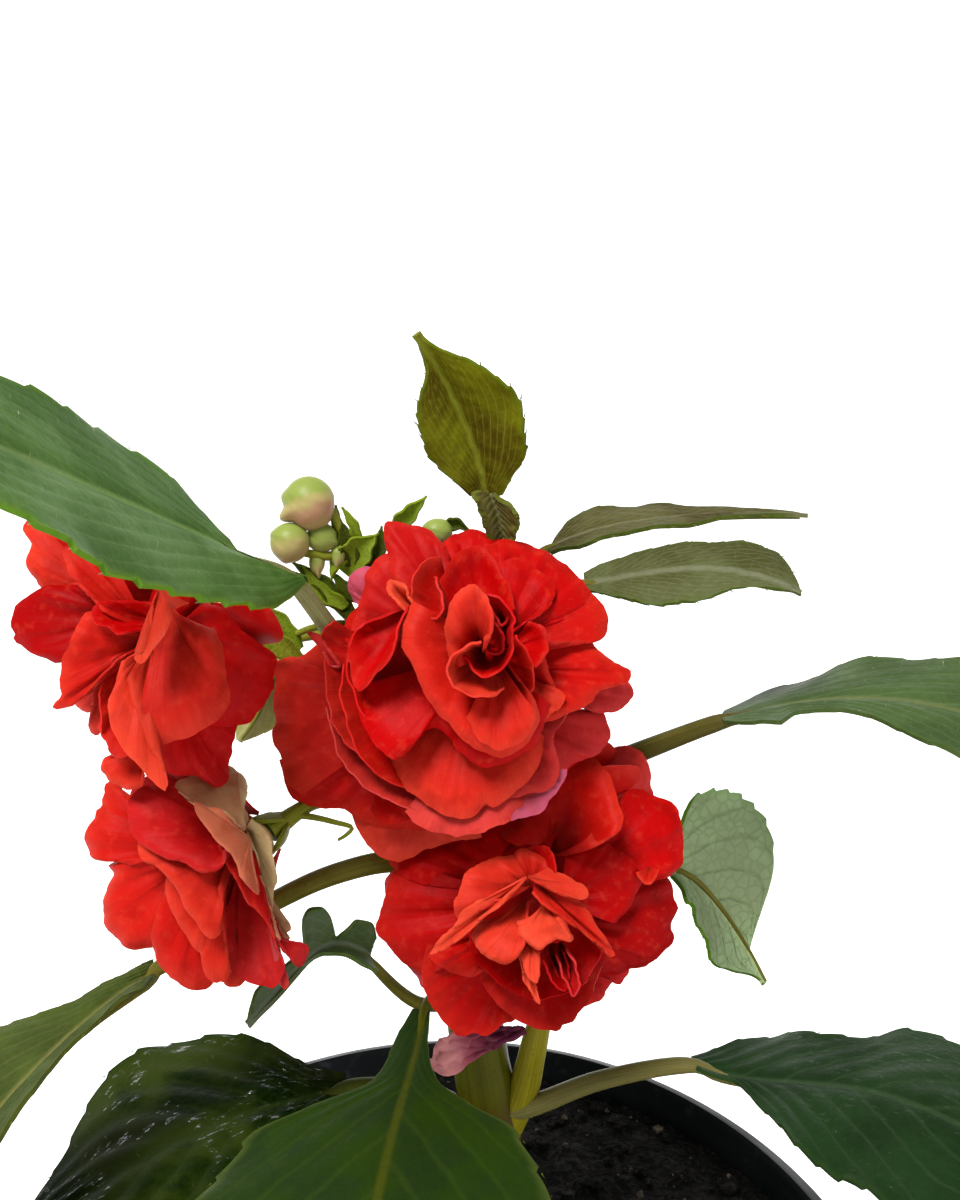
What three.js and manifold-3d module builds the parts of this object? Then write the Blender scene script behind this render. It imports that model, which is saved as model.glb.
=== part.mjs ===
// A double-flowered busy lizzie growing in a round plastic nursery pot.
//
// Millimetres, +Z up, +X to the plant's right and +Y to its back. The origin is the
// centre of the pot's flat base. Every leaf, bloom and stalk is a mesh of its own.

import * as THREE from "three";
import { mergeVertices } from "three/addons/utils/BufferGeometryUtils.js";
import Module from "manifold-3d";

// ---------------------------------------------------------------- driving dimensions

const GAP = 0.3; // clearance kept between neighbouring pieces

const POT = {
  rimRadius: 65,
  height: 100,
  baseRadius: 46,
  wall: 1.8,
  bandHeight: 15, // the stiffening band below the rim
  lip: 2.4, // how far the rolled rim stands out of the band
  sides: 32,
  drainHoles: 6,
  drainRadius: 4,
  drainCircle: 34,
};

const SOIL = { level: 96, relief: 1.4, clearance: 0.5, holeDepth: 30 };

const LEAF_THICKNESS = 0.8;
const PETAL_THICKNESS = 0.7;
const CORE_RADIUS = 3.8; // the solid heart that a bloom's petals grow from
const OVERLAP = 0.22; // how far each petal leans over the next one in its ring

const COLOURS = {
  pot: 0x15171a,
  soil: 0x241d19,
  stem: 0x8a9a4a,
  leaf: 0x3d6b2c,
  youngLeaf: 0x5f6b24,
  darkLeaf: 0x1f3d1c,
  paleLeaf: 0x93a888,
  petal: 0xc9150d,
  spentPetal: 0xa45f9a,
  bud: 0xb5c46a,
};

// ---------------------------------------------------------------- small helpers

const wasm = await Module();
wasm.setup();

const vec = ([x, y, z]) => new THREE.Vector3(x, y, z);
const lerp = THREE.MathUtils.lerp;
const clamp01 = (value) => THREE.MathUtils.clamp(value, 0, 1);
const radians = THREE.MathUtils.degToRad;

/** A repeatable draw between 0 and 1 for item i of series k. */
function draw(i, k) {
  const value = Math.sin(i * 12.9898 + k * 78.233) * 43758.5453;
  return value - Math.floor(value);
}

/** Cubic curve that passes through four points at 0, 1/3, 2/3 and 1 of its length. */
function curveThrough(points) {
  const [a, b, c, d] = points.map(vec);
  const mix = (ka, kb, kc, kd) =>
    new THREE.Vector3()
      .addScaledVector(a, ka / 6)
      .addScaledVector(b, kb / 6)
      .addScaledVector(c, kc / 6)
      .addScaledVector(d, kd / 6);
  return new THREE.CubicBezierCurve3(a, mix(-5, 18, -9, 2), mix(2, -9, 18, -5), d);
}

/** Closed manifold solid of a geometry, whatever way round its faces are. */
function solid(geometry) {
  const bare = geometry.clone();
  bare.deleteAttribute("normal");
  bare.deleteAttribute("uv");
  const merged = mergeVertices(bare, 1e-4);
  const index = [];
  const source = merged.index.array;
  for (let i = 0; i < source.length; i += 3) {
    const [a, b, c] = source.slice(i, i + 3);
    if (a !== b && b !== c && c !== a) index.push(a, b, c);
  }
  const vertProperties = new Float32Array(merged.attributes.position.array);
  let volume = 0;
  const corner = (n) => new THREE.Vector3().fromArray(vertProperties, n * 3);
  for (let i = 0; i < index.length; i += 3) {
    const [a, b, c] = index.slice(i, i + 3).map(corner);
    volume += a.dot(b.cross(c));
  }
  if (volume < 0) index.reverse();
  const triVerts = new Uint32Array(index);
  return new wasm.Manifold(new wasm.Mesh({ numProp: 3, vertProperties, triVerts }));
}

/** The solids joined into one body, its sealed hollows filled and loose scraps dropped. */
function fuse(solids, cut = []) {
  const joined = solids.reduce((sum, piece) => sum.add(piece));
  const whole = cut.reduce((rest, piece) => rest.subtract(piece), joined);
  return whole.decompose().reduce((main, piece) => (piece.volume() > main.volume() ? piece : main));
}

/** A named mesh of a solid. */
function part(name, piece, colour, roughness = 0.6) {
  const { vertProperties, triVerts } = piece.getMesh();
  const geometry = new THREE.BufferGeometry();
  geometry.setAttribute("position", new THREE.BufferAttribute(vertProperties, 3));
  geometry.setIndex(new THREE.BufferAttribute(triVerts, 1));
  geometry.computeVertexNormals();
  const mesh = new THREE.Mesh(geometry, new THREE.MeshStandardMaterial({ color: colour, roughness }));
  mesh.name = name;
  return mesh;
}

/** Geometry of a closed surface from rings of points, with a flat cap at each end. */
function loft(rings) {
  const sides = rings[0].length;
  const positions = rings.flat().flatMap((p) => p.toArray());
  const index = [];
  for (let i = 0; i + 1 < rings.length; i++) {
    for (let j = 0; j < sides; j++) {
      const a = i * sides + j;
      const b = i * sides + ((j + 1) % sides);
      index.push(a, b, b + sides, a, b + sides, a + sides);
    }
  }
  const last = (rings.length - 1) * sides;
  for (let j = 1; j + 1 < sides; j++) {
    index.push(0, j + 1, j, last, last + j, last + j + 1);
  }
  const geometry = new THREE.BufferGeometry();
  geometry.setAttribute("position", new THREE.Float32BufferAttribute(positions, 3));
  geometry.setIndex(index);
  return geometry;
}

/** Round stem along a curve, its radius running through the listed values. */
function stem(curve, radii, steps, sides = 6) {
  const frames = curve.computeFrenetFrames(steps, false);
  const rings = [];
  for (let i = 0; i <= steps; i++) {
    const at = (i / steps) * (radii.length - 1);
    const k = Math.min(Math.floor(at), radii.length - 2);
    const radius = lerp(radii[k], radii[k + 1], at - k);
    const centre = curve.getPointAt(i / steps);
    const ring = [];
    for (let j = 0; j < sides; j++) {
      const angle = (2 * Math.PI * j) / sides;
      ring.push(
        centre
          .clone()
          .addScaledVector(frames.normals[i], radius * Math.cos(angle))
          .addScaledVector(frames.binormals[i], radius * Math.sin(angle)),
      );
    }
    rings.push(ring);
  }
  return solid(loft(rings));
}

/** Smooth curve through any number of points. */
const route = (points) => new THREE.CatmullRomCurve3(points.map(vec), false, "centripetal");

/** Thin solid round a grid of points, split into the same triangles on both faces. */
function sheet(grid, thickness) {
  const rows = grid.length;
  const columns = grid[0].length;
  const faces = [[], []];
  grid.forEach((row, i) =>
    row.forEach((point, j) => {
      const along = grid[Math.min(i + 1, rows - 1)][j].clone().sub(grid[Math.max(i - 1, 0)][j]);
      const across = row[Math.min(j + 1, columns - 1)].clone().sub(row[Math.max(j - 1, 0)]);
      const normal = across.cross(along).normalize().multiplyScalar(thickness / 2);
      faces[0].push(point.clone().add(normal));
      faces[1].push(point.clone().sub(normal));
    }),
  );
  const positions = faces.flat().flatMap((p) => p.toArray());
  const under = rows * columns;
  const index = [];
  const quad = (a, b, c, d) => index.push(a, b, c, a, c, d);
  for (let i = 0; i + 1 < rows; i++) {
    for (let j = 0; j + 1 < columns; j++) {
      const a = i * columns + j;
      const c = a + columns + 1;
      quad(a, a + 1, c, c - 1);
      index.push(under + a, under + c, under + a + 1, under + a, under + c - 1, under + c);
    }
  }
  const edge = (a, b) => quad(b, a, under + a, under + b);
  for (let j = 0; j + 1 < columns; j++) {
    edge(j, j + 1);
    edge((rows - 1) * columns + j + 1, (rows - 1) * columns + j);
  }
  for (let i = 0; i + 1 < rows; i++) {
    edge((i + 1) * columns, i * columns);
    edge(i * columns + columns - 1, (i + 1) * columns + columns - 1);
  }
  const geometry = new THREE.BufferGeometry();
  geometry.setAttribute("position", new THREE.Float32BufferAttribute(positions, 3));
  geometry.setIndex(index);
  return solid(geometry);
}

// ---------------------------------------------------------------- pot and soil

/** Inside and outside of the pot wall as [radius, height] points, base to rim. */
function potProfile() {
  const { rimRadius, height, baseRadius, wall, bandHeight, lip } = POT;
  const shoulder = height - bandHeight;
  const band = rimRadius - lip;
  const neck = band - 3.6;
  return {
    outside: [
      [baseRadius, 0],
      [neck, shoulder - 1],
      [neck + 2, shoulder],
      [band, height - 4.5],
      [rimRadius - 0.6, height - 4.2],
      [rimRadius, height - 2.5],
      [rimRadius - 0.7, height - 0.4],
      [rimRadius - 2.2, height],
    ],
    inside: [
      [rimRadius - 3.8, height - 1.4],
      [neck + 0.5, shoulder + 1],
      [neck - wall, shoulder - 1.5],
      [baseRadius - wall, wall],
    ],
  };
}

/** Shape turned round the pot's axis from its [radius, height] outline. */
function turned(outline) {
  const points = outline.map(([r, z]) => new THREE.Vector2(r, z));
  return new THREE.LatheGeometry(points, POT.sides).rotateX(Math.PI / 2);
}

function makePot() {
  const { outside, inside } = potProfile();
  const outline = [[0, 0], ...outside, ...inside, [0, POT.wall]];
  const drills = [];
  for (let i = 0; i < POT.drainHoles; i++) {
    const angle = (2 * Math.PI * (i + 0.5)) / POT.drainHoles;
    const drill = new THREE.CylinderGeometry(POT.drainRadius, POT.drainRadius, 3 * POT.wall, 8)
      .rotateX(Math.PI / 2)
      .translate(POT.drainCircle * Math.cos(angle), POT.drainCircle * Math.sin(angle), 0);
    drills.push(solid(drill));
  }
  return fuse([solid(turned(outline))], drills);
}

const STEM_BASE = [6, 6];
const STEM_FOOT_RADIUS = 4.6;

function makeSoil() {
  const { inside } = potProfile();
  const [band, neck, foot] = [inside[1], inside[2], inside[3]];
  const slope = (POT.rimRadius - 3.8 - band[0]) / (POT.height - 1.4 - band[1]);
  const edge = band[0] + slope * (SOIL.level - band[1]) - SOIL.clearance;
  const outline = [
    [0, foot[1] + SOIL.clearance],
    [foot[0] - SOIL.clearance, foot[1] + SOIL.clearance],
    [neck[0] - SOIL.clearance, neck[1]],
    [band[0] - SOIL.clearance, band[1] + SOIL.clearance],
    [edge, SOIL.level - 1],
    [edge - 7, SOIL.level],
    [41, SOIL.level],
    [26, SOIL.level],
    [0, SOIL.level],
  ];
  const body = mergeVertices(turned(outline).deleteAttribute("normal").deleteAttribute("uv"), 1e-4);
  const position = body.attributes.position;
  for (let i = 0; i < position.count; i++) {
    if (position.getZ(i) < SOIL.level - 0.5) continue;
    position.setZ(i, SOIL.level + SOIL.relief * (draw(i, 3) - 0.5));
  }
  const holeRadius = STEM_FOOT_RADIUS + SOIL.clearance;
  const hole = new THREE.CylinderGeometry(holeRadius, holeRadius, 2 * SOIL.holeDepth, 12)
    .rotateX(Math.PI / 2)
    .translate(STEM_BASE[0], STEM_BASE[1], SOIL.level);
  return fuse([solid(body)], [solid(hole)]);
}

// ---------------------------------------------------------------- stems

/** Main shoot from the soil to the tip, with the side branch that carries the right leaf. */
const SHOOT = {
  path: [
    [...STEM_BASE, 67], [...STEM_BASE, 96], [6.5, 5.5, 122], [4.5, 6, 139.5], [2, 8, 155],
    [2.5, 8.5, 172], [3, 9, 190], [6, 9, 204], [6.5, 8, 211],
  ],
  radii: [STEM_FOOT_RADIUS, 4.6, 4.6, 4.4, 4.1, 3.4, 2.8, 2.2, 1.5],
};
const BRANCH = {
  path: [[8, 5.5, 126], [10.5, 5, 132], [12.7, 4, 143.5], [16, 5, 158], [20, 7, 174], [19.5, 6, 182]],
  radii: [2.6, 2.1, 1.5, 1.7, 1.7, 1.4],
};

/** Both stems, made thicker all round and longer at the tips by the given amount. */
function makeShoot(extra = 0) {
  const grow = ({ path, radii }, steps) => {
    const points = path.map(vec);
    const [before, tip] = points.slice(-2);
    tip.addScaledVector(tip.clone().sub(before).normalize(), extra);
    const curve = new THREE.CatmullRomCurve3(points, false, "centripetal");
    return stem(curve, radii.map((radius) => radius + extra), steps, 8);
  };
  return fuse([grow(SHOOT, 20), grow(BRANCH, 8)]);
}

// ---------------------------------------------------------------- leaves

// A blade hangs on four points of its midrib. Each half is given by the reach of its
// edge from the midrib, as it would be at the leaf's base and at its tip, and by the share
// of that reach at eleven even steps along it, or by a formula where it has no such shape.
const LEAVES = {
  leaf_upper_left: {
    rib: [[-15.9, -3.4, 210], [-25, -20, 219], [-33, -38, 228.5], [-38.5, -54, 235.5]],
    left: [[0, 6, -3], [-7, 16, 12]],
    right: [[0.5, -11.5, -4.5], [6.5, -14.5, -4.5]],
    petiole: [[3, 9, 186.3], [-3.5, 5.5, 189.8], [-12, -0.5, 200.5], [-16.5, -4.6, 208.8]],
    shape: {
      left: [0.15, 0.05, 0.1, 0.75, 1, 1.03, 0.84, 0.73, 0.53, 0.22, 0],
      right: [0.16, 0.7, 0.84, 0.93, 1.02, 1.02, 0.95, 0.76, 0.53, 0.22, 0],
    },
    wave: 0.012,
  },
  leaf_right: {
    rib: [[34.9, 0.6, 190.5], [49, -5, 195.3], [64, -12, 194.5], [80, -20, 184]],
    left: [[3, 9.5, -2.5], [6, 16, 7.5]],
    right: [[-0.5, -8, 1.5], [-8.5, -14, -7]],
    petiole: [[19.5, 6, 181], [27, 3.5, 185.5], [34.9, 0.6, 190]],
    shape: {
      left: [0.7, 0.92, 0.82, 0.91, 0.88, 0.84, 0.82, 0.72, 0.45, 0.18, 0],
      right: [0.3, 0.62, 0.44, 0.36, 0.47, 0.64, 0.7, 0.66, 0.44, 0.2, 0],
    },
    wave: 0.015,
  },
  leaf_top: {
    rib: [[5.4, 5.2, 217.3], [4, 4.5, 223.7], [1, 2.9, 231], [-2.5, 0, 237.3]],
    left: [[-10, -3, 3.5], [-4.5, -4.5, -2.5]],
    right: [[5, -3, 2], [6.5, -4.5, 4.5]],
    petiole: [[6.5, 8, 211], [6.5, 7, 214.5], [5.8, 5.3, 218]],
    shape: {
      left: [0.2, 0.46, 0.66, 0.76, 0.78, 0.75, 0.63, 0.44, 0.2, 0.1, 0],
      right: [0.4, 0.66, 1.02, 1.11, 1.13, 1.07, 0.9, 0.64, 0.34, 0.11, 0],
    },
    wave: 0.03, small: true, colour: "youngLeaf",
  },
  leaf_tip: {
    rib: [[7.4, 4.2, 211.4], [7.3, 3.9, 213.8], [6.8, 3.6, 216.1], [6, 3.6, 218.3]],
    left: [[-2.3, -0.9, 1.4], [-3.1, -1.8, 0.9]],
    right: [[1.5, -0.9, 1], [2.2, -1.7, 0]],
    petiole: [[6.5, 8.5, 206.5], [7.3, 5, 208.5], [7.4, 4.2, 211.4]],
    shape: {
      left: [0.5, 0.75, 0.9, 1, 1, 1, 1, 1.05, 1.1, 1, 0.5],
      right: [0.7, 0.85, 0.95, 1.05, 1.15, 1.2, 1.25, 1.3, 1.15, 0.8, 0.2],
    },
    wave: 0.05, small: true, colour: "youngLeaf",
  },
  leaf_right_high: {
    rib: [[14, 14.8, 209], [23, 14.8, 212.2], [34.7, 13.7, 213.8], [47.3, 13.1, 214]],
    left: [[1, 5.8, 2.1], [1.6, 9, -1.6]],
    right: [[0, -4.8, -0.5], [-2.1, -8, 0.5]],
    petiole: [[6.5, 9, 204], [10, 12, 206.5], [14, 14.8, 209]],
    shape: {
      left: [0.05, 0.95, 1.18, 1.13, 1, 0.97, 0.87, 0.68, 0.52, 0.3, 0],
      right: [0.5, 0.8, 1, 1, 0.95, 1, 0.92, 0.67, 0.37, 0.12, 0],
    },
    wave: 0.01, small: true, colour: "youngLeaf",
  },
  leaf_right_middle: {
    rib: [[17.7, 4, 206.9], [25.7, 1, 209.2], [33.5, -2.5, 210.4], [41.9, -5.9, 208.5]],
    left: [[0, 4.5, 3], [5, 7.5, 1.5]],
    right: [[-0.5, -4.5, -2.5], [0, -3, -4]],
    petiole: [[5.5, 9, 200], [12, 6.5, 204.5], [17.7, 4, 206.9]],
    shape: {
      left: [0.3, 0.56, 0.64, 0.79, 0.86, 0.89, 0.89, 0.94, 0.88, 0.48, 0],
      right: [0.2, 0.47, 0.76, 0.99, 1.06, 1.02, 0.83, 0.54, 0.34, 0.21, 0],
    },
    wave: 0.01, small: true, colour: "youngLeaf",
  },
  leaf_pale: {
    rib: [[30, 6, 166.5], [35.5, 8, 162], [41, 9, 154], [44, 6, 149]],
    left: [[2.5, 7, 14.5], [8, 2, 10]],
    right: [[1, -4, -0.5], [-9.5, -7.5, 1.5]],
    petiole: [[20, 7, 172], [25, 6.5, 169.5], [30, 6, 166.5]],
    shape: {
      left: [0.02, 0.62, 0.81, 0.97, 1.07, 1.11, 1.01, 0.42, 0.05, 0.02, 0],
      right: [0.3, 0.95, 1.25, 1, 0.95, 0.95, 0.9, 0.83, 0.49, 0.11, 0],
    },
    wave: 0.012, small: true, colour: "paleLeaf",
  },
  leaf_lower_right: {
    rib: [[34, 0, 140.5], [46.5, -6, 142.5], [58, -14, 145.5], [76, -25, 139]],
    left: [[-1.5, 11, -1.5], [14, 18, -1]],
    right: [[-1, -7, 3], [-12, -19, -7]],
    petiole: [[7, 5, 129.5], [11, 4, 130.7], [21.5, 3, 136], [34, 0, 140.5]],
    shape: {
      left: [0.2, 0.55, 0.88, 0.99, 0.8, 0.82, 1.03, 0.95, 0.7, 0.28, 0],
      right: [0.3, 0.18, 0.6, 0.85, 1, 0.99, 0.94, 0.9, 0.64, 0.24, 0],
    },
    wave: 0.02, colour: "darkLeaf",
  },
  leaf_front: {
    rib: [[-2.5, -3, 151.5], [-4.5, -21, 151], [-6.5, -39, 148.5], [-6, -61, 141]],
    left: [[-16, 0, -3], [-24, -1, -5]],
    right: [[15, 1, -3.5], [21, 0, -5]],
    petiole: [[2.5, 7.5, 147.5], [0, 3, 150.5], [-2.5, -3, 151.5]],
    shape: {
      left: [0.1, 0.18, 0.2, 0.62, 0.98, 1.05, 1.05, 0.95, 0.75, 0.45, 0],
      right: [0.05, 0.07, 0.14, 0.47, 0.87, 1.01, 1, 0.9, 0.7, 0.42, 0],
    },
    wave: 0.015,
  },
  leaf_lower_left: {
    rib: [[-14, 2, 135.5], [-25.5, -4, 136.5], [-37, -13, 137], [-50, -26, 134.5]],
    left: [[0, 14, 5], [-21, 17, -6]],
    right: [[2, -7, -5], [12, -22, 0]],
    petiole: [[6, 5, 127], [-3, 4.5, 133], [-14, 2, 135.5]],
    shape: {
      left: [0.14, 0.29, 0.57, 0.91, 1.12, 1.14, 1.02, 0.74, 0.41, 0.2, 0],
      right: [0.1, 0.45, 0.73, 0.9, 0.99, 0.99, 0.91, 0.76, 0.56, 0.31, 0],
    },
    wave: 0.02, colour: "darkLeaf",
  },
  leaf_left: {
    rib: [[-37, -5, 158], [-41, -13, 158.5], [-47, -23.5, 156], [-52.5, -36, 151]],
    left: [[-1.5, 4.2, 0.8], [-13, 15, 0]],
    right: [[1.5, -4, 1], [9, -11, 6]],
    petiole: [[2.5, 7.5, 164], [-6, 2, 170], [-14, -0.5, 169.5], [-22, -2.5, 166.5], [-37, -5, 158]],
    shape: {
      left: [0.5, 0.4, 0.36, 0.4, 0.39, 0.52, 0.72, 0.82, 0.75, 0.45, 0],
      right: [0.6, 0.6, 0.46, 0.45, 0.42, 0.4, 0.42, 0.52, 0.53, 0.4, 0],
    },
    wave: 0.01,
  },
  leaf_curled: {
    rib: [[-9.5, -2, 158.5], [-14, -4, 161.5], [-18, -7, 160], [-23.5, -13, 156]],
    left: [[1, 1, 5.5], [-3.5, 1, 4]],
    right: [[0.5, -3, -1.5], [1, -3, -2]],
    petiole: [[2.5, 8, 145], [-3.7, 2.6, 148.5], [-9.5, -2, 157.6]],
    shape: {
      left: [0.45, 0.72, 0.45, 0.16, 0.98, 1.15, 0.2, 0.3, 0.38, 0.42, 0],
      right: [0.8, 0.78, 0.65, 0.52, 0.37, 0.17, 0.12, 0.16, 0.2, 0.14, 0],
    },
    wave: 0, small: true,
  },
  leaf_behind_left: {
    rib: [[-20.5, 14, 196.5], [-23, 15, 192], [-25.5, 16, 186.5], [-29, 17, 181]],
    left: [[-4, 2, 0.5], [-5, 2.5, -1]],
    right: [[4, 1, -4.5], [3.5, 1.5, -3]],
    petiole: [[3.5, 9, 193], [-8, 13, 197.5], [-20.5, 14, 196.5]],
    widest: 0.42, fullness: 0.8, wave: 0.05, small: true, colour: "paleLeaf",
  },
  leaf_back_high: {
    rib: [[-3, 22, 183], [-9, 33, 186], [-14, 44, 184], [-17, 54, 178]],
    left: [[-8, -4, 1], [-12, -5, -1]],
    right: [[10, 4, -1], [11, 5, -3]],
    petiole: [[3, 9, 182], [0, 14, 183], [-3, 22, 183]],
    widest: 0.42, fullness: 0.9, wave: 0.05,
  },
  leaf_back_middle: {
    rib: [[2, 20, 168], [1, 34, 170], [-1, 48, 167], [-4, 61, 158]],
    left: [[-12, 0, -1], [-15, 0, -4]],
    right: [[12, 0, -2], [15, 0, -4]],
    petiole: [[2.5, 8, 163], [2, 13, 166], [2, 20, 168]],
    widest: 0.42, fullness: 0.9, wave: 0.05,
  },
  leaf_back_low: {
    rib: [[17, 16, 158], [22, 30, 157], [24, 44, 152], [22, 58, 143]],
    left: [[-11, 3, 1], [-12, 0, -2]],
    right: [[10, -3, -2], [12, -2, -4]],
    petiole: [[18, 6, 160], [18, 11, 159], [17, 16, 158]],
    widest: 0.42, fullness: 0.9, wave: 0.05, colour: "darkLeaf",
  },
};

const TOOTH = 0.05; // how deep the shallow teeth cut, as a share of the half width
const TIP_HALF_WIDTH = 0.45;

/** Half width of a blade at s along its midrib, as a share of the full half width. */
function bladeProfile(s, { widest, fullness, neck = 0 }) {
  const u = clamp01((s - neck) / (1 - neck));
  const blade = Math.sin(Math.PI * u ** (Math.log(0.5) / Math.log(widest))) ** fullness;
  const wing = neck > 0 ? 0.12 * Math.min(1, s / neck) * (1 - u * u) : 0;
  return wing + (1 - (neck > 0 ? 0.12 : 0)) * blade;
}

/** Share of the full half width at s on one side, from the leaf's own shape where it has one. */
function bladeShare(leaf, side, s) {
  if (!leaf.shape) return bladeProfile(s, leaf);
  const values = leaf.shape[side];
  const at = s * (values.length - 1);
  const k = Math.min(Math.floor(at), values.length - 2);
  return lerp(values[k], values[k + 1], at - k);
}

/** Points of a blade's middle surface, row by row from base to tip. */
function bladeGrid(leaf, rows, series) {
  const rib = curveThrough(leaf.rib);
  const halves = { left: leaf.left.map(vec), right: leaf.right.map(vec) };
  const reach = Math.max(halves.left[0].length(), halves.right[1].length());
  const grid = [];
  for (let i = 0; i <= rows; i++) {
    const s = i / rows;
    const centre = rib.getPoint(s);
    const tangent = rib.getTangent(s);
    const row = [];
    for (const t of [-1, -0.5, 0, 0.5, 1]) {
      const side = t < 0 ? "left" : "right";
      const share = bladeShare(leaf, side, s);
      const out = halves[side][0].clone().lerp(halves[side][1], s);
      const tooth = Math.abs(t) === 1 && i % 2 === 1 && i < rows - 1 ? 1 - TOOTH : 1;
      const width = Math.max(share * out.length() * tooth, TIP_HALF_WIDTH);
      const lift = tangent.clone().cross(out).normalize().multiplyScalar(t < 0 ? -1 : 1);
      const ripple = Math.sin(2 * Math.PI * 3 * s + 6.28 * draw(series, 1) + (t < 0 ? 0 : 1.9));
      const height = leaf.wave * reach * Math.abs(t) ** 2.5 * ripple * Math.min(1, 1.5 * share);
      const edge = centre.clone().addScaledVector(out.normalize(), Math.abs(t) * width);
      row.push(edge.addScaledVector(lift, height));
    }
    grid.push(row);
  }
  return grid;
}

/** Blade and petiole in one, cut back to clear the stem that it grows from. */
function makeLeaf(leaf, series, shootClearance) {
  const grid = bladeGrid(leaf, leaf.small && !leaf.shape ? 7 : 10, series);
  const rib = curveThrough(leaf.rib);
  const thick = leaf.small ? 0.8 : 1.3;
  const into = rib.getPoint(0.06).toArray();
  const radii = [thick + 0.3, thick, thick, 0.8 * thick, 0.45];
  const stalk = stem(route([...leaf.petiole, into]), radii, 5, 5);
  return fuse([sheet(grid, LEAF_THICKNESS), stalk], [shootClearance]);
}

// ---------------------------------------------------------------- blooms

// Each ring of petals: the directions they point in round the bloom's axis, how long and
// how half-wide they are, and the angle they leave the axis at, at the base and at the tip.
const BLOOMS = {
  bloom_centre: {
    heart: [2, -6, 196],
    axis: [0.15, -0.82, 0.55],
    rings: [
      {
        root: [2.6, -1.2], angles: [180, 218, 256, 300, 358], length: 21, width: 11.5,
        open: [50, 100], cup: 0.12, ruffle: 0.2,
      },
      {
        root: [2.6, 0.2], angles: [262, 205, 150, 95, 40, 325], length: 18, width: 12.5,
        open: [30, 82], cup: 0.12, ruffle: 0.25,
      },
      {
        root: [2.4, 1.4], angles: [290, 205, 120, 30], length: 14.5, width: 10,
        open: [20, 64], cup: 0.2, ruffle: 0.4,
      },
      {
        root: [1.2, 2], angles: [270, 150, 40], length: 11.5, width: 6,
        open: [4, 30], cup: 0.5, ruffle: 0.15,
      },
    ],
    stalk: [[3, 9, 190], [1, 5.5, 191.5]],
  },
  bloom_low: {
    heart: [10, -4, 173],
    axis: [0.12, -0.93, -0.15],
    rings: [
      {
        root: [2.6, -1.2], angles: [340, 22, 155, 200, 245, 290], length: 19, width: 11.5,
        open: [50, 100], cup: 0.12, ruffle: 0.25,
      },
      {
        root: [2.6, -1.2], angles: [60, 105], length: 17, width: 10,
        open: [58, 112], cup: 0.12, ruffle: 0.25,
      },
      {
        root: [2.4, 1.4], angles: [125, 45, 315, 225], length: 13, width: 10,
        open: [24, 64], cup: 0.2, ruffle: 0.4,
      },
      {
        root: [1.2, 2], angles: [95, 215, 325], length: 12, width: 6,
        open: [4, 28], cup: 0.5, ruffle: 0.15,
      },
    ],
    stalk: [[19.5, 6.5, 172], [14.5, 6.5, 174]],
  },
  bloom_left: {
    heart: [-30.8, -5, 207],
    axis: [-0.05, -0.95, -0.2],
    rings: [
      {
        root: [2.6, -1.2], angles: [145, 182, 222, 262], length: 19.5, width: 11,
        open: [40, 94], cup: 0.12, ruffle: 0.22,
      },
      {
        root: [2.6, -1.2], angles: [302, 345], length: 13, width: 9,
        open: [42, 92], cup: 0.12, ruffle: 0.22,
      },
      {
        root: [2.6, -1.2], angles: [38, 95], length: 9, width: 7,
        open: [42, 92], cup: 0.12, ruffle: 0.22,
      },
      {
        root: [2.4, 1.4], angles: [195, 250, 310], length: 14, width: 9,
        open: [22, 62], cup: 0.2, ruffle: 0.35,
      },
      {
        root: [1.2, 2], angles: [215, 30], length: 10, width: 5.5,
        open: [5, 26], cup: 0.5, ruffle: 0.15,
      },
    ],
    stalk: [[3, 9, 184], [-8, 9, 189], [-18.5, 6, 196.5], [-25, 4.5, 203.5]],
  },
  bloom_side: {
    heart: [-23, -9.5, 178],
    axis: [-0.72, -0.62, -0.3],
    rings: [
      {
        root: [2.6, -1.2], angles: [75, 22, 332, 180, 128], length: 17.5, width: 10.5,
        open: [36, 80], cup: 0.2, ruffle: 0.22,
      },
      {
        root: [2.6, -1.2], angles: [282, 232], length: 15, width: 9.5,
        open: [36, 80], cup: 0.2, ruffle: 0.22,
      },
      {
        root: [2.4, 1.4], angles: [50, 345, 285, 220, 130], length: 16, width: 9.5,
        open: [18, 48], cup: 0.2, ruffle: 0.25,
      },
      {
        root: [1.2, 2], angles: [40, 220], length: 14, width: 6.5,
        open: [5, 24], cup: 0.4, ruffle: 0.15,
      },
    ],
    stalk: [[2.5, 8, 176], [-8, 4, 177], [-14, 0, 179.5]],
  },
};

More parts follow.
